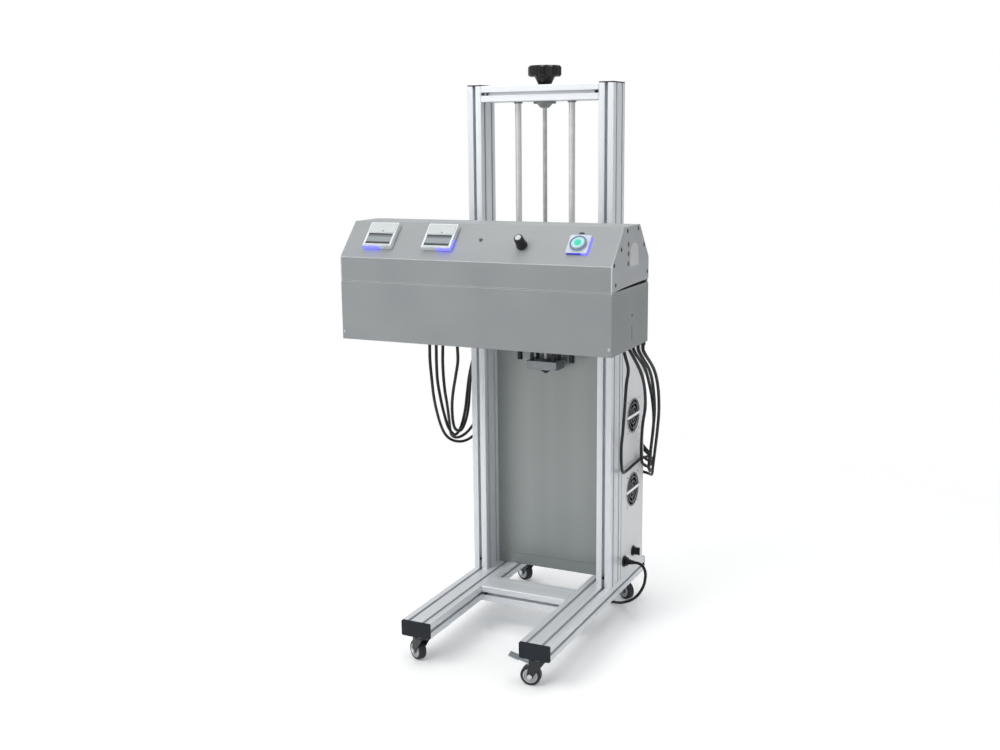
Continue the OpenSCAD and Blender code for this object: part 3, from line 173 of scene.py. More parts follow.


# %% [markdown]
# Four cables hang from the left of the head's underside and swing back up into the cabinet's left
# side. Five more leave its right end, run down past the fans, and turn round the cabinet's corner to
# its back. Each is a piece of its own, swept along its route.

# %% Cables between the head and the cabinet
CABLE_D = mm(8)
LEFT_ROUTES = [
    [(-232, -108, 793), (-232, -108, 766), (-242, -90, 722), (-256, -58, 668), (-276, -14, 614),
     (-296, 36, 562), (-310, 84, 508), (-314, 120, 470), (-307, 150, 448), (-292, 182, 440),
     (-276, 212, 450), (-264, 238, 478), (-258, 256, 515), (-257, 265, 550), (-253, 269, 578),
     (-243, 270, 595), (-232, 270, 600), (-220, 270, 600)],
    [(-213, -108, 793), (-213, -108, 766), (-222, -92, 722), (-238, -60, 668), (-248, -28, 614),
     (-254, 2, 562), (-254, 26, 518), (-248, 50, 494), (-243, 74, 508), (-244, 104, 550),
     (-252, 134, 594), (-260, 163, 634), (-263, 190, 672), (-260, 216, 710), (-253, 236, 742),
     (-243, 244, 755), (-232, 245, 760), (-220, 245, 760)],
    [(-194, -108, 793), (-194, -108, 766), (-206, -88, 722), (-222, -56, 675), (-238, -20, 628),
     (-254, 20, 584), (-272, 62, 536), (-288, 98, 494), (-297, 124, 470), (-294, 150, 458),
     (-282, 176, 464), (-271, 202, 484), (-264, 224, 512), (-259, 238, 545), (-256, 244, 578),
     (-252, 246, 607), (-243, 246, 624), (-232, 246, 630), (-220, 246, 630)],
    [(-152, -108, 793), (-152, -108, 766), (-160, -92, 728), (-180, -68, 682), (-204, -38, 634),
     (-224, -8, 588), (-236, 18, 540), (-240, 40, 512), (-234, 60, 506), (-230, 80, 528),
     (-232, 102, 562), (-240, 126, 600), (-248, 150, 640), (-253, 178, 684), (-255, 200, 724),
     (-251, 213, 754), (-243, 218, 776), (-232, 218, 782), (-220, 218, 782)]
]
RIGHT_ROUTES = [
    [(288, -103, 805), (288, -103, 794), (289, -88, 770), (287, -61, 733), (276, -43, 690),
     (258, -3, 620), (242, 31, 557), (230, 54, 509), (221, 80, 455), (214, 112, 424), (209, 160, 417),
     (208, 215, 419), (208, 269, 421), (211, 314, 416), (212, 342, 412), (203, 360, 415), (186, 369, 426),
     (170, 370, 446), (158, 363, 466), (151, 350, 479), (150, 336, 480)],
    [(302, -103, 805), (302, -103, 794), (304, -86, 778), (302, -14, 722), (290, 53, 668),
     (270, 120, 603), (250, 162, 550), (230, 210, 485), (218, 249, 424), (215, 280, 401), (214, 312, 390),
     (213, 341, 387), (203, 361, 389), (185, 371, 395), (168, 370, 405), (156, 361, 415), (150, 348, 420),
     (150, 336, 420)],
    [(314, -103, 805), (314, -103, 794), (316, -88, 777), (312, -14, 733), (302, 54, 679),
     (290, 118, 618), (270, 190, 545), (239, 265, 456), (226, 300, 418), (223, 328, 400), (216, 352, 395),
     (201, 371, 403), (182, 377, 416), (167, 373, 432), (156, 363, 445), (150, 350, 450), (150, 336, 450)],
    [(326, -103, 805), (326, -103, 794), (327, -88, 778), (323, -10, 727), (314, 48, 674),
     (297, 114, 600), (273, 176, 528), (247, 238, 459), (225, 290, 397), (217, 322, 374), (210, 347, 370),
     (197, 365, 372), (180, 372, 377), (165, 368, 384), (155, 359, 389), (150, 348, 390), (150, 336, 390)],
    [(338, -103, 805), (338, -103, 794), (339, -88, 779), (334, -6, 727), (326, 51, 671), (308, 116, 599),
     (284, 179, 528), (258, 241, 456), (235, 295, 392), (224, 323, 367), (213, 347, 356), (199, 365, 353),
     (182, 372, 354), (166, 368, 357), (155, 359, 359), (150, 348, 360), (150, 336, 360)]
]
cables = []
for side, routes, still_y in (("left", LEFT_ROUTES, mm(210)), ("right", RIGHT_ROUTES, mm(300))):
    for number, points in enumerate(routes, 1):
        route = smooth_route([mm(*p) for p in points])
        cable = sweep_tube(f"{side}_cable_{number}", route, CABLE_D)
        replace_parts(cable, f"{side}_cables")
        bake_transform(cable)
        cables.append(cable)
        print(cable.name, "is", round(route_length(route), 3), "m long")

# %% [markdown]
# The mains lead leaves its connector on the cabinet's right side, drops in a loose arc to the floor,
# and runs back under the cabinet. The rest of it is put away in a flat coil of two layers behind the
# machine: it spirals in on the floor, climbs one layer where it turns round, and spirals out on top.
# It bends with nothing, so it is a plain swept tube that stands still.

# %% Mains lead
CORD_D = mm(8)
MAINS_ROUTE = [
    (230, 165, 160), (240, 165, 160), (250, 166, 156), (257, 168, 146), (260, 171, 128),
    (255, 176, 100), (246, 182, 80), (233, 190, 60), (216, 199, 42), (195, 210, 27),
    (172, 223, 15), (150, 236, 8), (128, 246, 4.4), (107, 257, 4.05), (91, 275, 4), (83, 300, 4),
    (80, 330, 4), (81, 370, 4), (84, 410, 4), (88, 450, 4), (90, 486, 4), (90, 514, 4)
]
COIL_MIDDLE = (30, 522)
COIL_R, COIL_STEP, COIL_TURN, COIL_TURNS = 60, 8.6, 3.25, 6.25
CLIMB_FROM, CLIMB_TO = 3, 3.5
POINTS_PER_TURN = 24
PLUG_TAIL = 34


def coil_point(n):
    """A point of the coil after n turns, in millimetres."""
    radius = COIL_R - COIL_STEP * (n if n < COIL_TURN else 2 * COIL_TURN - n)
    share = min(max((n - CLIMB_FROM) / (CLIMB_TO - CLIMB_FROM), 0), 1)
    turn = 2 * pi * n
    return (COIL_MIDDLE[0] + radius * cos(turn), COIL_MIDDLE[1] + radius * sin(turn),
            CORD_D / MM / 2 + COIL_STEP * share)


coil_points = [coil_point(i / POINTS_PER_TURN) for i in range(round(COIL_TURNS * POINTS_PER_TURN) + 1)]
tail_end = (coil_points[-1][0] - PLUG_TAIL, coil_points[-1][1], coil_points[-1][2])
lead_route = smooth_route([mm(*p) for p in MAINS_ROUTE], 0.009)
lead_route += [mm(*p) for p in coil_points] + [mm(*tail_end)]
lead = sweep_tube("mains_lead", lead_route, CORD_D)
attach(lead, "stand")
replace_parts(lead, "mains_cord", "mains_cord_coil")
print("mains lead is", round(route_length(lead_route), 3), "m long")

# %% [markdown]
# A hook-and-loop tie holds the coil together. It is a flat band round one side of the coil's two
# layers: its outline is a rounded rectangle, drawn in the plane that cuts across the turns.

# %% Coil tie
TIE_TURN = radians(205)
TIE_WIDTH, TIE_THICKNESS = 12, 1.2
TIE_INSIDE, TIE_OUTSIDE, TIE_TOP, TIE_ROUND = 26.5, 65.5, 18, 5


def rounded_outline(low, high, radius, corner_steps=6):
    """The corners of a rounded rectangle from its lowest to its highest point."""
    outline = []
    for corner, (sx, sy) in enumerate(((1, 1), (-1, 1), (-1, -1), (1, -1))):
        cx = high[0] - radius if sx > 0 else low[0] + radius
        cy = high[1] - radius if sy > 0 else low[1] + radius
        for i in range(corner_steps + 1):
            turn = pi / 2 * (corner + i / corner_steps)
            outline.append((cx + radius * cos(turn), cy + radius * sin(turn)))
    return outline


def flat_band(name, outer, inner, width, place):
    """A band between two outlines with as many corners; place turns (x, y, z) to a point."""
    n = len(outer)
    corners = [place(x, y, z) for z in (-width / 2, width / 2) for ring in (outer, inner) for x, y in ring]
    faces = bridge(0, 2 * n, n) + bridge(3 * n, n, n) + bridge(n, 0, n) + bridge(2 * n, 3 * n, n)
    return make_mesh(name, corners, faces)


def across_coil(x, y, z):
    """From a distance out, a height and a place along the turn to a point."""
    out = Vector((cos(TIE_TURN), sin(TIE_TURN), 0))
    round_coil = Vector((-sin(TIE_TURN), cos(TIE_TURN), 0))
    return mm(*COIL_MIDDLE, y) + out * mm(x) + round_coil * mm(z)


coil_tie = flat_band(
    "coil_tie",
    rounded_outline((TIE_INSIDE, 0), (TIE_OUTSIDE, TIE_TOP), TIE_ROUND),
    rounded_outline((TIE_INSIDE + TIE_THICKNESS, TIE_THICKNESS / 2),
                    (TIE_OUTSIDE - TIE_THICKNESS, TIE_TOP - TIE_THICKNESS), TIE_ROUND - TIE_THICKNESS),
    TIE_WIDTH, across_coil)
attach(coil_tie, "stand")

# %% [markdown]
# Every finish below is built from the same few nodes. One function adds a shader node with its
# settings and its links. Patterns are measured in real millimetres on the machine, so that a scratch
# stays as wide as a scratch whatever it lies on. A pattern drawn coarser than life says so.

# %% Node helpers
def add(tree, kind, inputs=(), output=0, **settings):
    """One shader node's output. Inputs are values or links, in order or by name."""
    node = tree.nodes.new("ShaderNode" + kind)
    for name, value in settings.items():
        setattr(node, name, value)
    for name, value in inputs.items() if isinstance(inputs, dict) else enumerate(inputs):
        if isinstance(value, bpy.types.NodeSocket):
            tree.links.new(value, node.inputs[name])
        else:
            node.inputs[name].default_value = value
    return node.outputs[output]


def place_mm(tree, stretch=(1, 1, 1)):
    """Places on the machine in millimetres, each axis divided by its stretch."""
    place = add(tree, "TexCoord", output="Object")
    return add(tree, "Mapping", {"Vector": place, "Scale": [1 / (MM * s) for s in stretch]})


def grain(tree, size, stretch=(1, 1, 1), detail=3):
    """A cloudy pattern with spots about size millimetres across, longer along a stretched axis."""
    return add(tree, "TexNoise", {"Vector": place_mm(tree, stretch), "Scale": 1 / size, "Detail": detail})


# Nearly all of a cloudy pattern lies between these two values.
GRAIN_RANGE = (0.3, 0.7)
CLOUD_SHARE = 0.7


def finish(name, light, dark, roughness, metallic=0.0, blotch=90, size=0.5, depth=0.01,
           stretch=(1, 1, 1), edge=0.4, swing=0.06, **sockets):
    """A material with cloudy tone, fine grain in gloss and relief, and rounded edges.

    The clouds are blotch millimetres across and the grain size millimetres. The grain stands depth
    millimetres high, edges are rounded over edge millimetres, and roughness goes up and down by swing.
    """
    material = bpy.data.materials.new(name)
    material.use_nodes = True
    tree = material.node_tree
    shader = tree.nodes["Principled BSDF"]
    cloud, fine = grain(tree, blotch, stretch, 2), grain(tree, size, stretch)
    both = add(tree, "Mix", {0: CLOUD_SHARE, 2: fine, 3: cloud})
    tone = add(tree, "MapRange", [both, *GRAIN_RANGE, 0, 1])
    colour = add(tree, "Mix", {0: tone, 6: srgb(dark), 7: srgb(light)}, 2, data_type="RGBA")
    gloss = add(tree, "MapRange", [fine, *GRAIN_RANGE, roughness - swing, roughness + swing])
    rounded = add(tree, "Bevel", {"Radius": edge * MM}, samples=4)
    relief = add(tree, "Bump", {"Height": fine, "Distance": depth * MM, "Normal": rounded})
    for socket, made in (("Base Color", colour), ("Roughness", gloss), ("Normal", relief)):
        tree.links.new(made, shader.inputs[socket])
    shader.inputs["Metallic"].default_value = metallic
    for socket, value in sockets.items():
        shader.inputs[socket.replace("_", " ")].default_value = value
    return material


def overlay(material, share, colour, roughness=None, metallic=None):
    """Another colour and gloss where share is 1, over what a material already has."""
    tree = material.node_tree
    shader = tree.nodes["Principled BSDF"]
    under = shader.inputs["Base Color"].links[0].from_socket
    over = add(tree, "Mix", {0: share, 6: under, 7: srgb(colour)}, 2, data_type="RGBA")
    tree.links.new(over, shader.inputs["Base Color"])
    for socket, value in (("Roughness", roughness), ("Metallic", metallic)):
        if value is not None:
            links = shader.inputs[socket].links
            start = links[0].from_socket if links else shader.inputs[socket].default_value
            tree.links.new(add(tree, "Mix", {0: share, 2: start, 3: value}), shader.inputs[socket])


def dress(material, *names):
    """Give CAD nodes their finish."""
    for name in names:
        nodes[name].data.materials.clear()
        nodes[name].data.materials.append(material)
    print(material.name, "on", ", ".join(names))


def along(tree, axis):
    """The place along one axis, in millimetres."""
    return add(tree, "SeparateXYZ", [place_mm(tree)], axis)


def past(tree, axis, limit):
    """1 where a place is past a limit along one axis, and 0 before it."""
    return add(tree, "Math", [along(tree, axis), limit], operation="GREATER_THAN")


def line_distance(tree, point, direction):
    """The distance in millimetres from the line through a point along a direction of length 1."""
    out = add(tree, "VectorMath", [place_mm(tree), point], operation="SUBTRACT")
    aside = add(tree, "VectorMath", [out, direction], operation="CROSS_PRODUCT")
    return add(tree, "VectorMath", [aside], "Value", operation="LENGTH")


# %% [markdown]
# The uprights, bars and legs are one extruded profile. Extruding leaves faint die lines along the
# length, and clear anodising leaves a satin, slightly blue silver. The finish is made three times,
# because its lines run along whichever axis the bar does.

# %% Anodised extruded aluminium
# Satin silver with hairlines along the bar: a face catches the light evenly and is never a mirror.
DIE_LINE_MM, LONG_GRAIN = 0.9, 300
profiles = {}
for axis, stretch in (("x", (LONG_GRAIN, 1, 1)), ("y", (1, LONG_GRAIN, 1)), ("z", (1, 1, LONG_GRAIN))):
    profiles[axis] = finish(f"anodised_extrusion_{axis}", "#E6E9ED", "#D8DCE1", 0.38, 0.3,
                            blotch=14, size=DIE_LINE_MM, depth=0.006, stretch=stretch, edge=0.6)
dress(profiles["z"], "left_upright", "right_upright")
dress(profiles["x"], "top_crossbar", "lower_crossbar", "base_crossbar")
dress(profiles["y"], "left_leg", "right_leg", "head_arms")

# %% [markdown]
# Injection-moulded caps close the ends of the profiles. The mould is spark-eroded, which leaves a
# very fine matt grain that scatters the light; the plastic is a blue-black nylon.

# %% Moulded nylon
# Blue-black and matt, with a fine even grain, and a thin bright line only where an edge is rounded.
nylon = finish("moulded_nylon", "#141C24", "#0F151C", 0.55, depth=0.03, edge=1.0,
               Specular_IOR_Level=0.35)
dress(nylon, "upright_caps", "leg_caps")
black_plastic = finish("moulded_black_abs", "#17191B", "#101113", 0.4, size=0.45, depth=0.02, edge=0.5,
                       Specular_IOR_Level=0.4)
dress(black_plastic, "mains_fittings", "fan_frames", "fan_rotor_upper", "fan_rotor_lower",
      "cabinet_glands", "head_glands", "mains_switch_knob", "power_knob")
# Phenolic, pressed in a polished mould: black and glossy, so that each lobe shows a small sharp glint.
dress(finish("polished_black_phenolic", "#0B0C0E", "#060708", 0.24, depth=0.004, edge=1.2, swing=0.04,
             Specular_IOR_Level=0.45), "hand_knob")

# %% [markdown]
# The head is folded from thin sheet. It is a plain grey with a very fine texture: a sprayed powder
# coat, which melts into tiny rounded bumps like the skin of an orange, only much finer. The end
# plates have the same coat in a slightly paler grey.

# %% Grey powder coat
# Even grey with soft highlights; its small bumps break any reflection up.
ORANGE_PEEL_MM, FOLD_MM = 1.6, 2.6
BOX_RIM_Z, CREASE_TOP_Z = 948, 1013
ON_FOLD, OFF_FOLD = 0.94, 0.995


def painted_fold_highlight(material, colour):
    """A painted highlight: a paler line along the folds and cut edges round the cover's front."""
    tree = material.node_tree
    between = [past(tree, 2, BOX_RIM_Z), past(tree, 2, CREASE_TOP_Z)]
    within = add(tree, "Math", between, operation="SUBTRACT")
    rounded = add(tree, "Bevel", {"Radius": FOLD_MM * MM}, samples=4)
    flat = add(tree, "NewGeometry", output="Normal")
    likeness = add(tree, "VectorMath", [rounded, flat], "Value", operation="DOT_PRODUCT")
    fold = add(tree, "MapRange", [likeness, ON_FOLD, OFF_FOLD, 1, 0])
    overlay(material, add(tree, "Math", [within, fold], operation="MULTIPLY"), colour)


head_coat = finish("grey_powder_coat", "#919596", "#878B8D", 0.46, size=ORANGE_PEEL_MM, depth=0.015,
                   blotch=160, edge=0.9)
# Paler lines along the cover's folds are a painted highlight, on both coats.
painted_fold_highlight(head_coat, "#D4D7D7")
plate_coat = finish("grey_powder_coat_ends", "#AEB1B5", "#A4A8AB", 0.46, size=ORANGE_PEEL_MM,
                    depth=0.015, blotch=120, edge=0.7)
painted_fold_highlight(plate_coat, "#DCDFDF")
dress(head_coat, "head_lower_box", "upper_cover")
dress(plate_coat, "end_plates")

# %% [markdown]
# The cabinet's front panel is stainless sheet, brushed up and down. Brushing cuts thousands of
# parallel scratches, so the panel is bright across them in a wide soft band. The rest of the cabinet
# is a paler powder coat.

# %% Brushed stainless sheet and pale coat
# Long vertical hairlines that stretch every highlight sideways into a broad, soft glow.
BRUSH_LINE_MM = 0.5
dress(finish("brushed_stainless_sheet", "#9DA2A1", "#919695", 0.42, 0.6, blotch=60, size=BRUSH_LINE_MM,
             depth=0.008, stretch=(1, 1, 400), swing=0.1, edge=0.8), "cabinet_front_panel")
# Near-white and satin, with the same fine orange peel as the head.
pale_coat = finish("pale_powder_coat", "#EEF0F2", "#E4E7EA", 0.45, size=ORANGE_PEEL_MM, depth=0.015,
                   blotch=200, edge=0.8)
# The shell's narrow front rim, round the panel, is brushed sheet too.
CABINET_FRONT_Y, CABINET_ROOF_Z = 141.9, 899.5
tree = pale_coat.node_tree
rim = add(tree, "Math", [along(tree, 1), CABINET_FRONT_Y], operation="LESS_THAN")
overlay(pale_coat, rim, "#9BA09F", 0.4, 0.7)
# The roof is a shade darker, a painted shade against the lamps above it, and its coat is duller.
overlay(pale_coat, past(tree, 2, CABINET_ROOF_Z), "#C6CACD", 0.6)
dress(pale_coat, "cabinet_shell")

# %% [markdown]
# The lift's metals each come from another process: the guide rods are hardened and ground round, the
# bearings' shells too, the carriage is milled, and the nut is turned from brass. Cutting tools leave
# lines round a turned part and straight lines on a milled one.

# %% Ground, milled and turned metals
# Smooth and bright with very fine rings round the rod, so that the rod shows one long soft streak.
dress(finish("ground_hardened_steel", "#E6E6E4", "#D6D6D5", 0.3, 0.55, blotch=40, size=0.35, depth=0.002,
             stretch=(1, 1, 0.4), edge=0.3), "guide_rods", "linear_bearings")
# Straight tool marks across a satin face.
dress(finish("milled_aluminium", "#C9CDD1", "#B5BABF", 0.33, 0.9, blotch=30, size=0.7, depth=0.008,
             stretch=(60, 1, 1), edge=0.5), "carriage_block", "inverter_unit")
# Cast aluminium, duller than the milled parts, painted a darker grey: on the lower bearing under the head
# this grey is painted shade.
dress(finish("cast_aluminium_painted_shade", "#94989B", "#83888B", 0.48, 0.8, blotch=12, size=0.9, depth=0.03,
             edge=0.6), "screw_lower_bearing", "screw_top_bearing")
# Warm yellow metal with rings from turning.
dress(finish("turned_brass", "#C6A25A", "#AF8A43", 0.28, 1.0, blotch=20, size=0.4, depth=0.004,
             stretch=(1, 1, 0.3)), "lead_nut")
# Bluish bright plating over pressed steel, with soft cloudy patches.
zinc = finish("zinc_plated_steel", "#CDD1D4", "#AEB4B9", 0.3, 0.95, blotch=9, size=1.2)
dress(zinc, "caster_plates", "brake_pedal_fl", "brake_pedal_fr")
# Plated wire, grey from the shade of the fan behind it.
guard_wire = finish("plated_guard_wire", "#989CA0", "#868A8F", 0.35, 0.9, blotch=9, size=0.6, edge=0.3)
# A band across each guard's middle, along its bar, is painted near-white, a painted highlight, and is
# glossier.
FAN_Y, FAN_ZS, FAN_PITCH, GUARD_BAR_H = 228, (551, 345), 82.5, 7.2
tree = guard_wire.node_tree
for fan_z in FAN_ZS:
    near = [along(tree, 2), fan_z, GUARD_BAR_H / 2]
    overlay(guard_wire, add(tree, "Math", near, operation="COMPARE"), "#F2F4F5", 0.25)
dress(guard_wire, "fan_guards")
# Dark oxide on cast and turned steel parts, slightly glossy from oil.
black_steel = finish("black_oxide_steel", "#34373A", "#232628", 0.38, 0.6, blotch=8)
# The two seats at the guide rods' upper ends are bare steel, the connectors lower down are black.
SEATS_FROM_Z, SEATS_WITHIN_X = 1340, 150
tree = black_steel.node_tree
between = add(tree, "Math", [along(tree, 0), 0, SEATS_WITHIN_X], operation="COMPARE")
seats = add(tree, "Math", [past(tree, 2, SEATS_FROM_Z), between], operation="MULTIPLY")
overlay(black_steel, seats, "#8C9093", 0.4, 0.9)
dress(black_steel, "frame_fasteners")

# %% [markdown]
# Cables and cords wear soft PVC, the seal is rubber, and the casters roll on polyurethane. All three
# are dark and dull, but a PVC jacket has a faint shine along its length, rubber has almost none, and
# a tyre picks up dust where it rolls.

# %% PVC, rubber and tyre
# Black-blue with a long soft highlight, and slight ripples from the extruder.
jacket = finish("pvc_cable_jacket", "#111316", "#0B0C0E", 0.42, size=2.2, depth=0.05, blotch=30, edge=0.2,
                Specular_IOR_Level=0.3)
for cable in cables:
    cable.data.materials.append(jacket)
lead.data.materials.append(jacket)
dress(jacket, "inlet_connector", "mains_plug")
# Dull black without any clear highlight.
dress(finish("moulded_rubber", "#0C0D0D", "#070708", 0.85, size=0.6, depth=0.04, edge=0.5,
             Specular_IOR_Level=0.2), "cover_seal")
# Woven hooks and loops, darker between the loops; the loops are drawn coarser than life.
hook_tape = finish("hook_and_loop_tape", "#1E2024", "#0F1012", 0.9, size=1.1, depth=0.2, edge=0.3,
                   Sheen_Weight=0.4)
coil_tie.data.materials.append(hook_tape)

# %% [markdown]
# A caster's wheel is a dark tyre on a pale nylon hub, and its fork is black pressed steel with a bright
# bolt through it. Wheel and fork are one node each, so the finish changes with the distance from
# the axle, which the casters' places and turns give.

# %% Casters
CASTERS = {"fl": (-160, -306, 152), "fr": (160, -306, 190), "rl": (-142, 306, 156), "rr": (142, 306, 330)}
CASTER_TRAIL, AXLE_Z = 22, 25
TYRE_FROM, BOLT_R = 18.05, 6.1


def near_axle(tree, corner, radius):
    """1 within a radius in millimetres from one caster's axle line, and 0 outside it."""
    x, y, yaw = CASTERS[corner]
    turn = radians(yaw)
    axle = (x + CASTER_TRAIL * cos(turn), y + CASTER_TRAIL * sin(turn), AXLE_Z)
    distance = line_distance(tree, axle, (-sin(turn), cos(turn), 0))
    return add(tree, "Math", [distance, radius], operation="LESS_THAN")


for corner in CASTERS:
    # A dark rim of polyurethane round a light hub, so that the wheel reads as a ring.
    wheel = finish(f"polyurethane_tyre_{corner}", "#202225", "#17191B", 0.5, size=0.8, depth=0.04, edge=0.6)
    overlay(wheel, near_axle(wheel.node_tree, corner, TYRE_FROM), "#C3C7CA", 0.4)
    dress(wheel, f"caster_wheel_{corner}")
    # Glossy black coat on pressed steel, and a bare bolt head.
    fork = finish(f"black_coated_fork_{corner}", "#26292D", "#1A1D20", 0.35, size=0.9, depth=0.02, edge=0.6)
    overlay(fork, near_axle(fork.node_tree, corner, BOLT_R), "#D5D8DA", 0.25, 1.0)
    dress(fork, f"caster_fork_{corner}")

# %% [markdown]
# Inside the head sit the parts that do the work: a copper coil wound from fine strands, dark ferrite
# bars that steer its field down, an insulating laminate under it, and the board that drives the
# displays. They show only from below and through gaps, but they are dressed like the rest.

# %% Working parts inside the head
# Warm varnished strands in bands; the strands are drawn coarser than life.
dress(finish("varnished_copper_strands", "#C07A45", "#8E5329", 0.35, 0.8, size=1.5, depth=0.15,
             stretch=(30, 1, 1), blotch=25), "induction_coil")
# Fired ceramic: dark, dense and slightly glossy, with a fine pitted skin.
dress(finish("fired_ferrite", "#48484B", "#37373A", 0.5, depth=0.05, blotch=12), "ferrite_cores")
# Pale resin over glass cloth, with the weave just visible through it.
dress(finish("glass_cloth_laminate", "#E6E3D4", "#D6D2C0", 0.4, size=1.4, depth=0.02, blotch=80),
      "sealing_plate")
# Green lacquer over copper traces that stand up slightly.
dress(finish("lacquered_circuit_board", "#2F7A4C", "#1F5836", 0.3, size=2.5, depth=0.05, blotch=15),
      "control_board")

# %% [markdown]
# The sloping panel has its own frame: X runs to the right, Y climbs the slope, and Z stands out of
# it. Everything on the panel is placed there and then turned into the machine's frame by one matrix.

# %% Slope frame and placing helpers
SLOPE_FOOT = (0, -333, 1010.5)
SLOPE_ANGLE = atan2(80, 73.5)
SLOPE_FRAME = Matrix.Translation(mm(*SLOPE_FOOT)) @ Matrix.Rotation(SLOPE_ANGLE, 4, "X")


def on_slope(x, up, out=0):
    """The place of something on the sloping panel."""
    return SLOPE_FRAME @ Matrix.Translation(mm(x, up, out))


def facing(point, direction):
    """A place at a point in millimetres, with its Z axis along a direction."""
    turn = Vector(direction).to_track_quat("Z", "Y").to_matrix().to_4x4()
    return Matrix.Translation(mm(*point)) @ turn


SHARP_FROM = radians(35)


def add_piece(piece, body, material):
    """Tie a piece to its body and its kind of material, and dress it."""
    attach(piece, body)
    piece.data.materials.append(material)
    piece.data.set_sharp_from_angle(angle=SHARP_FROM)
    print(piece.name, "rides on", body, "with", len(piece.data.polygons), "faces")
    return piece


def lathe(name, outline, places, sides=32, ring=False):
    """Turned copies of an outline of (radius, height, form) in millimetres; form 6 cuts six flats.

    A ring joins its outline's end to its start; anything else is closed with a flat at both ends.
    """
    corners, faces = [], []
    for place in places:
        first = len(corners)
        for radius, height, *form in outline:
            for k in range(sides):
                turn = 2 * pi * k / sides
                flat = cos(pi / 6) / cos((turn % (pi / 3)) - pi / 6) if form else 1
                reach = radius * flat
                corners.append(place @ mm(reach * cos(turn), reach * sin(turn), height))
        for i in range(len(outline) - (0 if ring else 1)):
            faces += bridge(first + i * sides, first + (i + 1) % len(outline) * sides, sides)
        if not ring:
            faces += flat_ends(first, first + (len(outline) - 1) * sides, sides)
    return make_mesh(name, corners, faces)


MITRE = 1.4


def plate(name, outline, low, high, place, edge=0.3):
    """A flat plate from its outline, between the heights low and high, with a small front chamfer."""
    count = len(outline)
    middle = (sum(p[0] for p in outline) / count, sum(p[1] for p in outline) / count)
    levels = ((low, 0), (high - edge, 0), (high, edge))
    corners = []
    for height, inset in levels:
        for x, y in outline:
            away = Vector((middle[0] - x, middle[1] - y))
            pull = away.normalized() * inset * MITRE if away.length else away
            corners.append(place @ mm(x + pull.x, y + pull.y, height))
    faces = bridge(0, count, count) + bridge(count, 2 * count, count) + flat_ends(0, 2 * count, count)
    return make_mesh(name, corners, faces)


# %% [markdown]
# Each meter shows a white face above its dark display window, and a white lip below it. The case in
# the CAD is one block, so the face and the lip are thin moulded plates laid on it. The display is lit:
# a violet-blue glow leaks from a thin gap along the case's lower edge onto the panel.

# %% Panel meters
METERS = {"left": -251, "right": -93}
METER_UP, METER_T, METER_H = 62.5, 11, 70
FACE_HALF_W, FACE_TOP, LIP_FOOT = 35, 32.5, -34
FACE_T, LIP_T, WINDOW_RIM = 1.2, 0.8, 1.5
WINDOW_LOW, WINDOW_HIGH = -28, 3
SHADE_MM, FOOT_LINE_MM = (12, 2), (5, 8)
SLOPE_UP = SLOPE_FRAME.to_3x3() @ Vector((0, 1, 0))
# Pale grey-white satin plastic with a soft edge line.
white_abs = finish("moulded_white_abs", "#BFC5C4", "#B4BAB9", 0.35, blotch=60, edge=0.6)
# Milky plastic of the case's sides, brighter than the face, with a soft gloss.
dress(finish("milky_moulded_case", "#DDE2E6", "#D1D7DB", 0.3, size=0.6, edge=1.2, Subsurface_Weight=0.25,
             Subsurface_Scale=0.004), "panel_meters")
# Smoked acrylic over a grey display: dark along its upper edge, where a shadow is painted, and along its
# lower line, paler between them.
window = finish("smoked_acrylic_window", "#363B3F", "#2C3034", 0.14, size=6, depth=0.004, blotch=30,
                swing=0.05, Coat_Weight=0.4, Coat_Roughness=0.05)
tree = window.node_tree
from_foot = add(tree, "VectorMath", [place_mm(tree), SLOPE_FOOT], operation="SUBTRACT")
climb = add(tree, "VectorMath", [from_foot, SLOPE_UP], "Value", operation="DOT_PRODUCT")
below_shade = add(tree, "MapRange", [climb, *(METER_UP + WINDOW_HIGH - down for down in SHADE_MM), 1, 0])
above_line = add(tree, "MapRange", [climb, *(METER_UP + WINDOW_LOW + up for up in FOOT_LINE_MM), 0, 1])
overlay(window, add(tree, "Math", [below_shade, above_line], operation="MULTIPLY"), "#868D90", 0.3)
dress(window, "meter_windows")
face_outline = rounded_outline((-FACE_HALF_W, WINDOW_HIGH + WINDOW_RIM), (FACE_HALF_W, FACE_TOP), 2)
lip_outline = rounded_outline((-FACE_HALF_W, LIP_FOOT), (FACE_HALF_W, WINDOW_LOW - WINDOW_RIM), 1.2)
for side, x in METERS.items():
    for part, outline, thick in (("face", face_outline, FACE_T), ("lip", lip_outline, LIP_T)):
        add_piece(plate(f"meter_{part}_{side}", outline, METER_T, METER_T + thick, on_slope(x, METER_UP)),
                  "head", white_abs)
    stud = lathe(f"meter_stud_{side}", [(1.6, 0), (1.6, 0.5), (1.1, 0.9)],
                 [on_slope(x + 4, METER_UP + 9, METER_T + FACE_T)])
    add_piece(stud, "head", black_plastic)

# %% [markdown]
# Light from a display or a button is a thin strip that shines. It is a strip of frosted plastic
# along an edge, so it lights the panel beside it by itself, and no colour is painted on the panel.

# %% Lit strips
GLOW_PATCH_MM, GLOW_SWING = 4, 0.15


def lit(name, colour, strength):
    """Frosted plastic that shines, a little brighter in some patches."""
    material = finish(name, colour, colour, 0.5, size=0.6)
    tree = material.node_tree
    shader = tree.nodes["Principled BSDF"]
    shader.inputs["Emission Color"].default_value = srgb(colour)
    swing = strength * GLOW_SWING
    patches = grain(tree, GLOW_PATCH_MM)
    glow = add(tree, "MapRange", [patches, *GRAIN_RANGE, strength - swing, strength + swing])
    tree.links.new(glow, shader.inputs["Emission Strength"])
    return material


# A cool blue-violet line that spills onto the metal next to it.
violet_light = lit("lit_violet_diffuser", "#4848F0", 4)
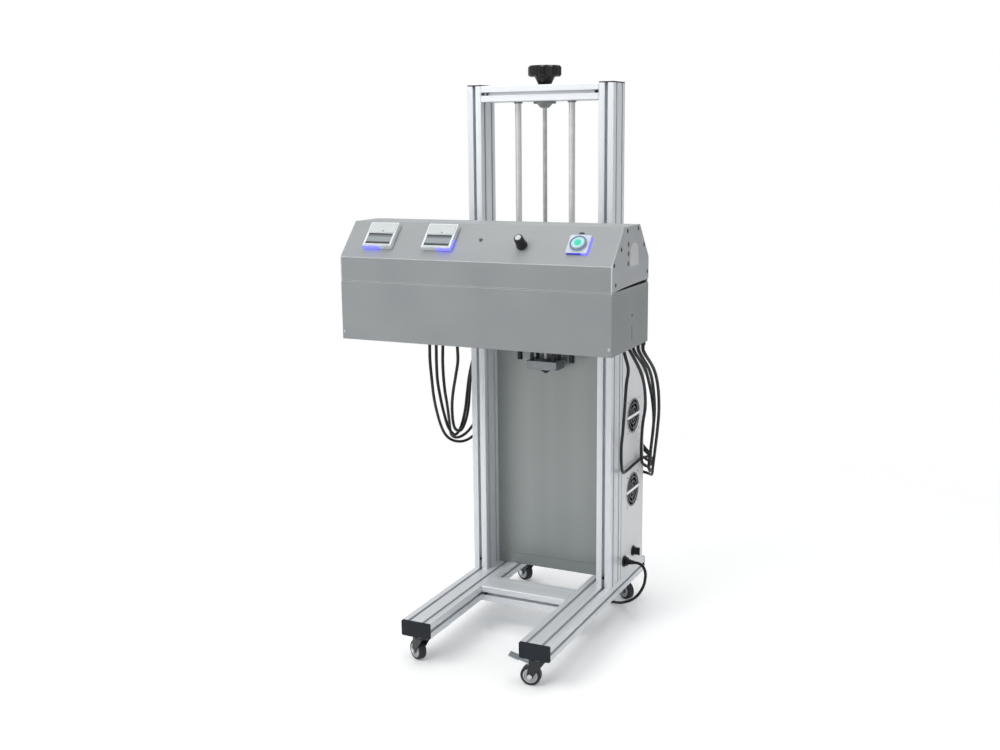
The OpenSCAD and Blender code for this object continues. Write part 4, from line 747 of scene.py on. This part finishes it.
# The same light, weaker, through a dark indigo strip; its dark colour is painted shade under the bezel's
# lower edge.
indigo_shade_light = lit("lit_indigo_painted_shade", "#2C2CB0", 0.7)
# A sea-green lens, lit from behind, that stays well below white.
teal_light = lit("lit_teal_lens", "#1FAF94", 0.3)


def strip(name, origin, across, up, out, material=violet_light):
    """A thin strip on the slope: its edges across, up and out in millimetres from a place there."""
    (x0, x1), (y0, y1) = across, up
    piece = plate(name, [(x0, y0), (x1, y0), (x1, y1), (x0, y1)], *out, on_slope(*origin), edge=0.1)
    add_piece(piece, "head", material)


LEFT_FOOT, RIGHT_FOOT = ((x, METER_UP - METER_H / 2) for x in METERS.values())
strip("left_meter_light", LEFT_FOOT, (-38, 6), (-1.3, -0.2), (0.6, 9.5))
strip("right_meter_light", RIGHT_FOOT, (2, 36), (-1.3, -0.2), (2.5, 10.2))
strip("right_meter_side_light", RIGHT_FOOT, (38.2, 39.3), (1, 26), (4, 9))

# %% [markdown]
# The start button is a white square bezel with a lit centre. Between the bezel and the button a thin
# blue-grey ring shows. Its light leaks out under the bezel's right and lower edges.

# %% Start button
START_X, START_UP, START_HEAD, LENS_R = 253, 56, 11, 7.5
RING_OUT, BEZEL_REACH = 9, 40
GLOW_FROM, GLOW_TO = LENS_R + 1, LENS_R + 7
# White plastic with a painted glow: aqua round the lens, fading to white at the rim.
button_white = finish("moulded_white_button", "#CDD5DC", "#C4CCD4", 0.3, edge=0.5)
tree = button_white.node_tree
start_place = on_slope(START_X, START_UP).translation / MM
from_middle = line_distance(tree, start_place, SLOPE_FRAME.to_3x3() @ Vector((0, 0, 1)))
painted_glow = add(tree, "MapRange", [from_middle, GLOW_FROM, GLOW_TO, 1, 0])
overlay(button_white, painted_glow, "#7FD3C9")
dress(button_white, "start_button")
# The white bezel of the start button stands right of the other fittings, which are nickel-plated.
fittings = finish("nickel_plated_fittings", "#8C9094", "#74787C", 0.3, 0.9, size=0.4)
overlay(fittings, past(fittings.node_tree, 0, START_X - BEZEL_REACH), "#BCC3D2", 0.35, 0.0)
dress(fittings, "panel_fittings")
# Satin blue-grey plastic, a dull line between the white button and its white bezel.
ring_blue = finish("moulded_blue_grey_ring", "#557A94", "#496D86", 0.35)
add_piece(lathe("start_ring", [(16.1, 0), (19.6, 0), (19.6, 0.5), (19.2, 0.8), (16.4, 0.8), (16.1, 0.5)],
                [on_slope(START_X, START_UP, RING_OUT)], 64, ring=True), "head", ring_blue)
add_piece(lathe("start_lens", [(LENS_R, 0), (LENS_R, 0.5), (LENS_R - 1.5, 1.0), (LENS_R - 5, 1.3)],
                [on_slope(START_X, START_UP, START_HEAD)], 48), "start_key", teal_light)
START = (START_X, START_UP)
# The low strip's dark indigo is painted shade under the bezel's lower edge, and it shines weakly.
strip("start_light_low", START, (-22, 12), (-26.3, -25.1), (0.4, 4.5), indigo_shade_light)
strip("start_light_corner", START, (12, 25), (-26.3, -25.1), (0.4, 3))
strip("start_light_right", START, (25.1, 26.3), (-24, 18), (0.4, 3))

# %% [markdown]
# The power knob is black with a white cap pressed into its top. A small dark oval marker sits above
# the start button.

# %% Knob cap and marker
KNOB_TOP = on_slope(118, 49, 30.8)
MARKER_HALF_W, MARKER_HALF_H = 7, 2.4
add_piece(lathe("knob_cap", [(7, 0), (7, 0.4), (6.4, 0.8), (3, 1.1)], [KNOB_TOP], 48),
          "power_dial", white_abs)
oval = [(MARKER_HALF_W * cos(radians(a)), MARKER_HALF_H * sin(radians(a)))
        for a in range(0, 360, 15)]
add_piece(plate("start_badge", oval, 0, 0.8, on_slope(START_X - 2, START_UP + 33)), "head",
          black_plastic)

# %% [markdown]
# The lead screw lifts the head by 3 mm for each turn of the hand knob. In the CAD it is a smooth rod;
# here it gets its rolled trapezoidal thread. The thread is one endless strip: the outline of a single
# groove is carried round and up the screw, and each turn's upper edge is the next turn's lower edge.

# %% Lead screw
SCREW_Y, SCREW_R, ROOT_R, LEAD = 100, 6, 4.7, 3
THREAD_FROM, THREAD_TO, TURN_STEPS = 712, 1354, 20
GROOVE = [(0, SCREW_R), (0.36, SCREW_R), (0.5, ROOT_R), (0.86, ROOT_R)]
thread_steps = round((THREAD_TO - THREAD_FROM) / LEAD + 1) * TURN_STEPS
thread_corners = []
for step in range(thread_steps + 1):
    turn = 2 * pi * step / TURN_STEPS
    for share, radius in GROOVE:
        height = THREAD_FROM + LEAD * (step / TURN_STEPS + share - 1)
        height = min(max(height, THREAD_FROM), THREAD_TO)
        thread_corners.append(mm(radius * cos(turn), SCREW_Y + radius * sin(turn), height))
thread_faces = []
for step in range(thread_steps):
    for j in range(4):
        low, high = step * 4 + j, step * 4 + j + 1
        if j == 3:
            high = (step + TURN_STEPS) * 4
            if high + 4 >= len(thread_corners):
                continue
        thread_faces.append((low, low + 4, high + 4, high))
# Bright rolled steel with a cloudy tone.
rolled_steel = finish("rolled_screw_steel", "#CDCECE", "#B4B5B6", 0.3, 0.8, blotch=25,
                      depth=0.004, edge=0.1)
thread = make_mesh("screw_thread", thread_corners, thread_faces)
add_piece(thread, "screw", rolled_steel)
screw_axis = [facing((0, SCREW_Y, 0), (0, 0, 1))]
FOOT_END = [(5.2, 675.7), (6, 676.5), (6, 679.7), (11.4, 679.7), (12, 680.3), (12, 687.1),
            (11.4, 687.7), (6, 687.7), (6, 712.2)]
foot_end = lathe("screw_lower_end", FOOT_END, screw_axis)
add_piece(foot_end, "screw", black_steel)
top_end = lathe("screw_upper_end", [(6, 1353.8), (6, 1448.9), (5.6, 1449.3)], screw_axis)
add_piece(top_end, "screw", rolled_steel)
for piece in (thread, foot_end, top_end):
    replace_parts(piece, "lead_screw")

# %% [markdown]
# The head's two end plates are held by countersunk screws, flush with the sheet. So the plates are
# drilled here: cones and a shallow pocket are cut out of a copy of the plates with a boolean
# modifier. A screw sits in each cone, and a blank plate closes the pocket on the right end.

# %% End plates with countersunk screws
END_X, SINK_R, SINK_DEPTH = 345, 5.6, 2
END_SCREWS = [(-237, 1081), (-166, 1082), (-276, 1043), (-126, 1042), (-320, 1012), (-99, 978), (-310, 969)]
PORT_HOLES = [(-231, 1051), (-231, 1030), (-231, 1008)]
SCREW_HEAD = [(3.7, -1.9), (5.3, -0.3), (5.1, -0.15), (2.1, -0.15, 6), (2.1, -1.7, 6)]
sink_places = [facing((side * END_X, y, z), (side, 0, 0)) for side in (-1, 1) for y, z in END_SCREWS]
port_places = [facing((END_X, y, z), (1, 0, 0)) for y, z in PORT_HOLES]
SINK_FOOT = SINK_R - SINK_DEPTH
SINK = [(SINK_FOOT, -SINK_DEPTH - 0.5), (SINK_FOOT, -SINK_DEPTH), (SINK_R, 0), (SINK_R, 1)]
sinks = lathe("sink_cutter", SINK, sink_places)
ports = lathe("port_cutter", [(6.2, -1), (6.2, 1)], port_places)
BLANK = [(-217, 1000), (-163, 1000), (-163, 1034), (-167, 1045), (-176, 1052), (-204, 1052),
         (-213, 1045), (-217, 1034)]
# The right end's own frame: X runs to the rear, Y runs up, and Z stands out of the plate.
SIDE_TURN = Matrix(((0, 0, 1, 0), (1, 0, 0, 0), (0, 1, 0, 0), (0, 0, 0, 1)))
SIDE_FRAME = Matrix.Translation(mm(END_X, 0, 0)) @ SIDE_TURN
pocket = plate("pocket_cutter", BLANK, -0.7, 1, SIDE_FRAME, edge=0)
# The right plate's lower edge stands off the box, so that the black seal shows in a wedge under it.
SEAM = [(-316, 953), (-91, 953), (-91, 960.6), (-200, 959.6), (-268, 958), (-316, 954.6)]
seam = plate("seam_cutter", SEAM, -3, 1, SIDE_FRAME, edge=0)
drilled = new_object("drilled_end_plates", nodes["end_plates"].data.copy())
for cutter in (sinks, ports, pocket, seam):
    cut = drilled.modifiers.new(cutter.name, "BOOLEAN")
    cut.operation, cut.solver, cut.object = "DIFFERENCE", "EXACT", cutter
drilled.data = bpy.data.meshes.new_from_object(drilled.evaluated_get(bpy.context.evaluated_depsgraph_get()))
drilled.modifiers.clear()
# The CAD's stored shading doesn't fit the cut faces, so it is dropped and set anew.
for layer in ("custom_normal", "sharp_edge"):
    if layer in drilled.data.attributes:
        drilled.data.attributes.remove(drilled.data.attributes[layer])
for cutter in (sinks, ports, pocket, seam):
    bpy.data.objects.remove(cutter)
drilled.data.materials.clear()
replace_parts(add_piece(drilled, "head", plate_coat), "end_plates")
add_piece(lathe("end_plate_screws", SCREW_HEAD, sink_places), "head", black_steel)
# Grey vinyl plugs, a little darker than the coat.
vinyl = finish("grey_vinyl_plug", "#5F6367", "#52565A", 0.5, depth=0.02, edge=0.5)
PLUG = [(6.0, -0.95), (6.0, -0.35), (5.6, -0.15), (3.2, -0.15), (3.0, -0.6)]
add_piece(lathe("port_plugs", PLUG, port_places), "head", vinyl)
# The blank plate leaves a thin gap all round in its pocket.
BLANK_GAP, BLANK_MIDDLE = 0.5, (-190, 1026)
fitted = [tuple(c + copysign(BLANK_GAP, m - c) for c, m in zip(corner, BLANK_MIDDLE))
          for corner in BLANK]
# Brighter sheet than the plate round it, so that the blank plate stands out.
blank_coat = finish("pale_blank_plate", "#CBCED0", "#C2C5C7", 0.42, size=ORANGE_PEEL_MM, depth=0.012,
                    edge=0.3)
add_piece(plate("blank_plate", fitted, -0.65, -0.05, SIDE_FRAME, edge=0.2), "head",
          blank_coat)

# %% [markdown]
# Smaller screws hold the rest: one in each lower corner of the head's front, four round each fan and
# four under each caster's plate. A round head is turned and gets a hexagon socket; a hexagon head is
# the same lathe with six flats.

# %% Other screws
BUTTON_HEAD = [(3.8, 0), (3.8, 0.6), (3.3, 1.5), (2.4, 2.0), (1.7, 2.05, 6), (1.7, 0.8, 6)]
HEX_HEAD = [(5.6, 0, 6), (5.6, 3.6, 6), (5.0, 4.0)]


def screws(name, body, places, direction, outline=BUTTON_HEAD, wide=1, high=1):
    """Zinc-plated screws at places in millimetres; wide and high stretch the outline of their heads."""
    heads = [(radius * wide, height * high, *form) for radius, height, *form in outline]
    add_piece(lathe(name, heads, [facing(place, direction) for place in places]), body, zinc)


screws("head_corner_screws", "head", [(x, -333, 830) for x in (-339, 339)], (0, -1, 0))
screws("fan_screws", "stand", [(200, FAN_Y + dy * FAN_PITCH / 2, z + dz * FAN_PITCH / 2)
                               for z in FAN_ZS for dy in (-1, 1) for dz in (-1, 1)], (1, 0, 0),
       wide=0.8, high=0.8)
screws("caster_bolts", "stand", [(x + dx, y + dy, 74) for x, y, yaw in CASTERS.values()
                                 for dx in (-25, 25) for dy in (-19, 19)], (0, 0, -1),
       outline=HEX_HEAD, wide=0.85, high=0.8)

# %% [markdown]
# A folded cabinet needs a way in, so its back is a cover held by screws round its edge. The head's
# cover is screwed on along its rear edge.

# %% Rear screws
CABINET_BACK_Y, HEAD_BACK_Y = 316, -92
edge_rows = [(x, z) for x in (-188, 188) for z in (131, 382, 634, 886)]
edge_rows += [(x, z) for x in (-62, 62) for z in (131, 886)]
screws("rear_cover_screws", "stand", [(x, CABINET_BACK_Y, z) for x, z in edge_rows], (0, 1, 0))
screws("head_cover_screws", "head", [(x, HEAD_BACK_Y, 972) for x in (-310, -105, 105, 310)], (0, 1, 0))

# %% [markdown]
# The machine stands in a white studio. The floor is pale and matt, so that it keeps the soft shadows
# under the casters, and it fades out into the white background a little way off. Metal shows what is
# round it, so the background is white in its reflections too, only weaker.

# %% Floor, background and lamps
FLOOR_HALF = 4.0
FADE_FROM, FADE_TO = 900, 2300
FLOOR_SIGNS = ((-1, -1), (1, -1), (1, 1), (-1, 1))
floor = make_mesh("floor", [(sx * FLOOR_HALF, sy * FLOOR_HALF, 0) for sx, sy in FLOOR_SIGNS], [(0, 1, 2, 3)])
floor_finish = finish("matt_white_floor", "#FCFDFD", "#F8F9FA", 0.85, size=3, blotch=900)
tree = floor_finish.node_tree
matt = tree.nodes["Principled BSDF"]
away = add(tree, "VectorMath", [place_mm(tree)], "Value", operation="LENGTH")
fade = add(tree, "MapRange", [away, FADE_FROM, FADE_TO, 0, 1])
seen = add(tree, "LightPath", output="Is Camera Ray")
# The floor looks a little whiter to the camera than it is lit; no light from it reaches the machine.
FLOOR_LIFT = 0.14
matt.inputs["Emission Color"].default_value = srgb("#FFFFFF")
lift = add(tree, "Math", [seen, FLOOR_LIFT], operation="MULTIPLY")
tree.links.new(lift, matt.inputs["Emission Strength"])
hide = add(tree, "Math", [fade, seen], operation="MULTIPLY")
clear = add(tree, "MixShader", [hide, matt.outputs[0], add(tree, "BsdfTransparent")])
tree.links.new(clear, tree.nodes["Material Output"].inputs["Surface"])
floor.data.materials.append(floor_finish)

WHITE_SEEN, WHITE_REFLECTED, WHITE_LEFT, WHITE_RIGHT = 1.0, 0.25, 0.5, 0.3
world = bpy.data.worlds.new("white_studio")
bpy.context.scene.world = world
world.use_nodes = True
sky = world.node_tree
path = add(sky, "LightPath").node.outputs
# The room is darker on the machine's right, so that its right-hand sides stand off from its fronts.
sideways = add(sky, "SeparateXYZ", [add(sky, "TexCoord", output="Generated")])
light = add(sky, "MapRange", [sideways, -1, 1, WHITE_LEFT, WHITE_RIGHT])
glossy = [path["Is Glossy Ray"], WHITE_REFLECTED, light]
strength = add(sky, "Math", glossy, operation="MULTIPLY_ADD")
bare = add(sky, "Math", [path["Is Camera Ray"], path["Is Transmission Ray"]], operation="MAXIMUM")
strength = add(sky, "Mix", {0: bare, 2: strength, 3: WHITE_SEEN})
sky.links.new(strength, sky.nodes["Background"].inputs["Strength"])
sky.nodes["Background"].inputs["Color"].default_value = srgb("#FFFFFF")


def softbox(name, place, aim, width, height, watts):
    """A soft rectangular lamp at a place in metres, aimed at a point."""
    lamp = bpy.data.lights.new(name, "AREA")
    lamp.shape = "RECTANGLE"
    lamp.size, lamp.size_y, lamp.energy = width, height, watts
    made = new_object(name, lamp)
    made.location = place
    made.rotation_euler = (Vector(aim) - Vector(place)).to_track_quat("-Z", "Y").to_euler()
    print(name, watts, "W")


softbox("key", (-1.4, -2.5, 3.5), (0, 0, 0.9), 2.2, 2.2, 76)
softbox("fill", (3.0, -1.2, 2.4), (0, 0, 0.8), 2.0, 2.4, 9)
softbox("top", (0.2, 0.4, 4.2), (0, 0, 0.6), 3.0, 3.0, 92)
softbox("strip", (-1.6, -3.2, 1.7), (0, 0, 1.2), 0.25, 1.8, 9)

# %% [markdown]
# The picture uses the plain Standard view transform.

# %% View transform
bpy.context.scene.view_settings.view_transform = "Standard"
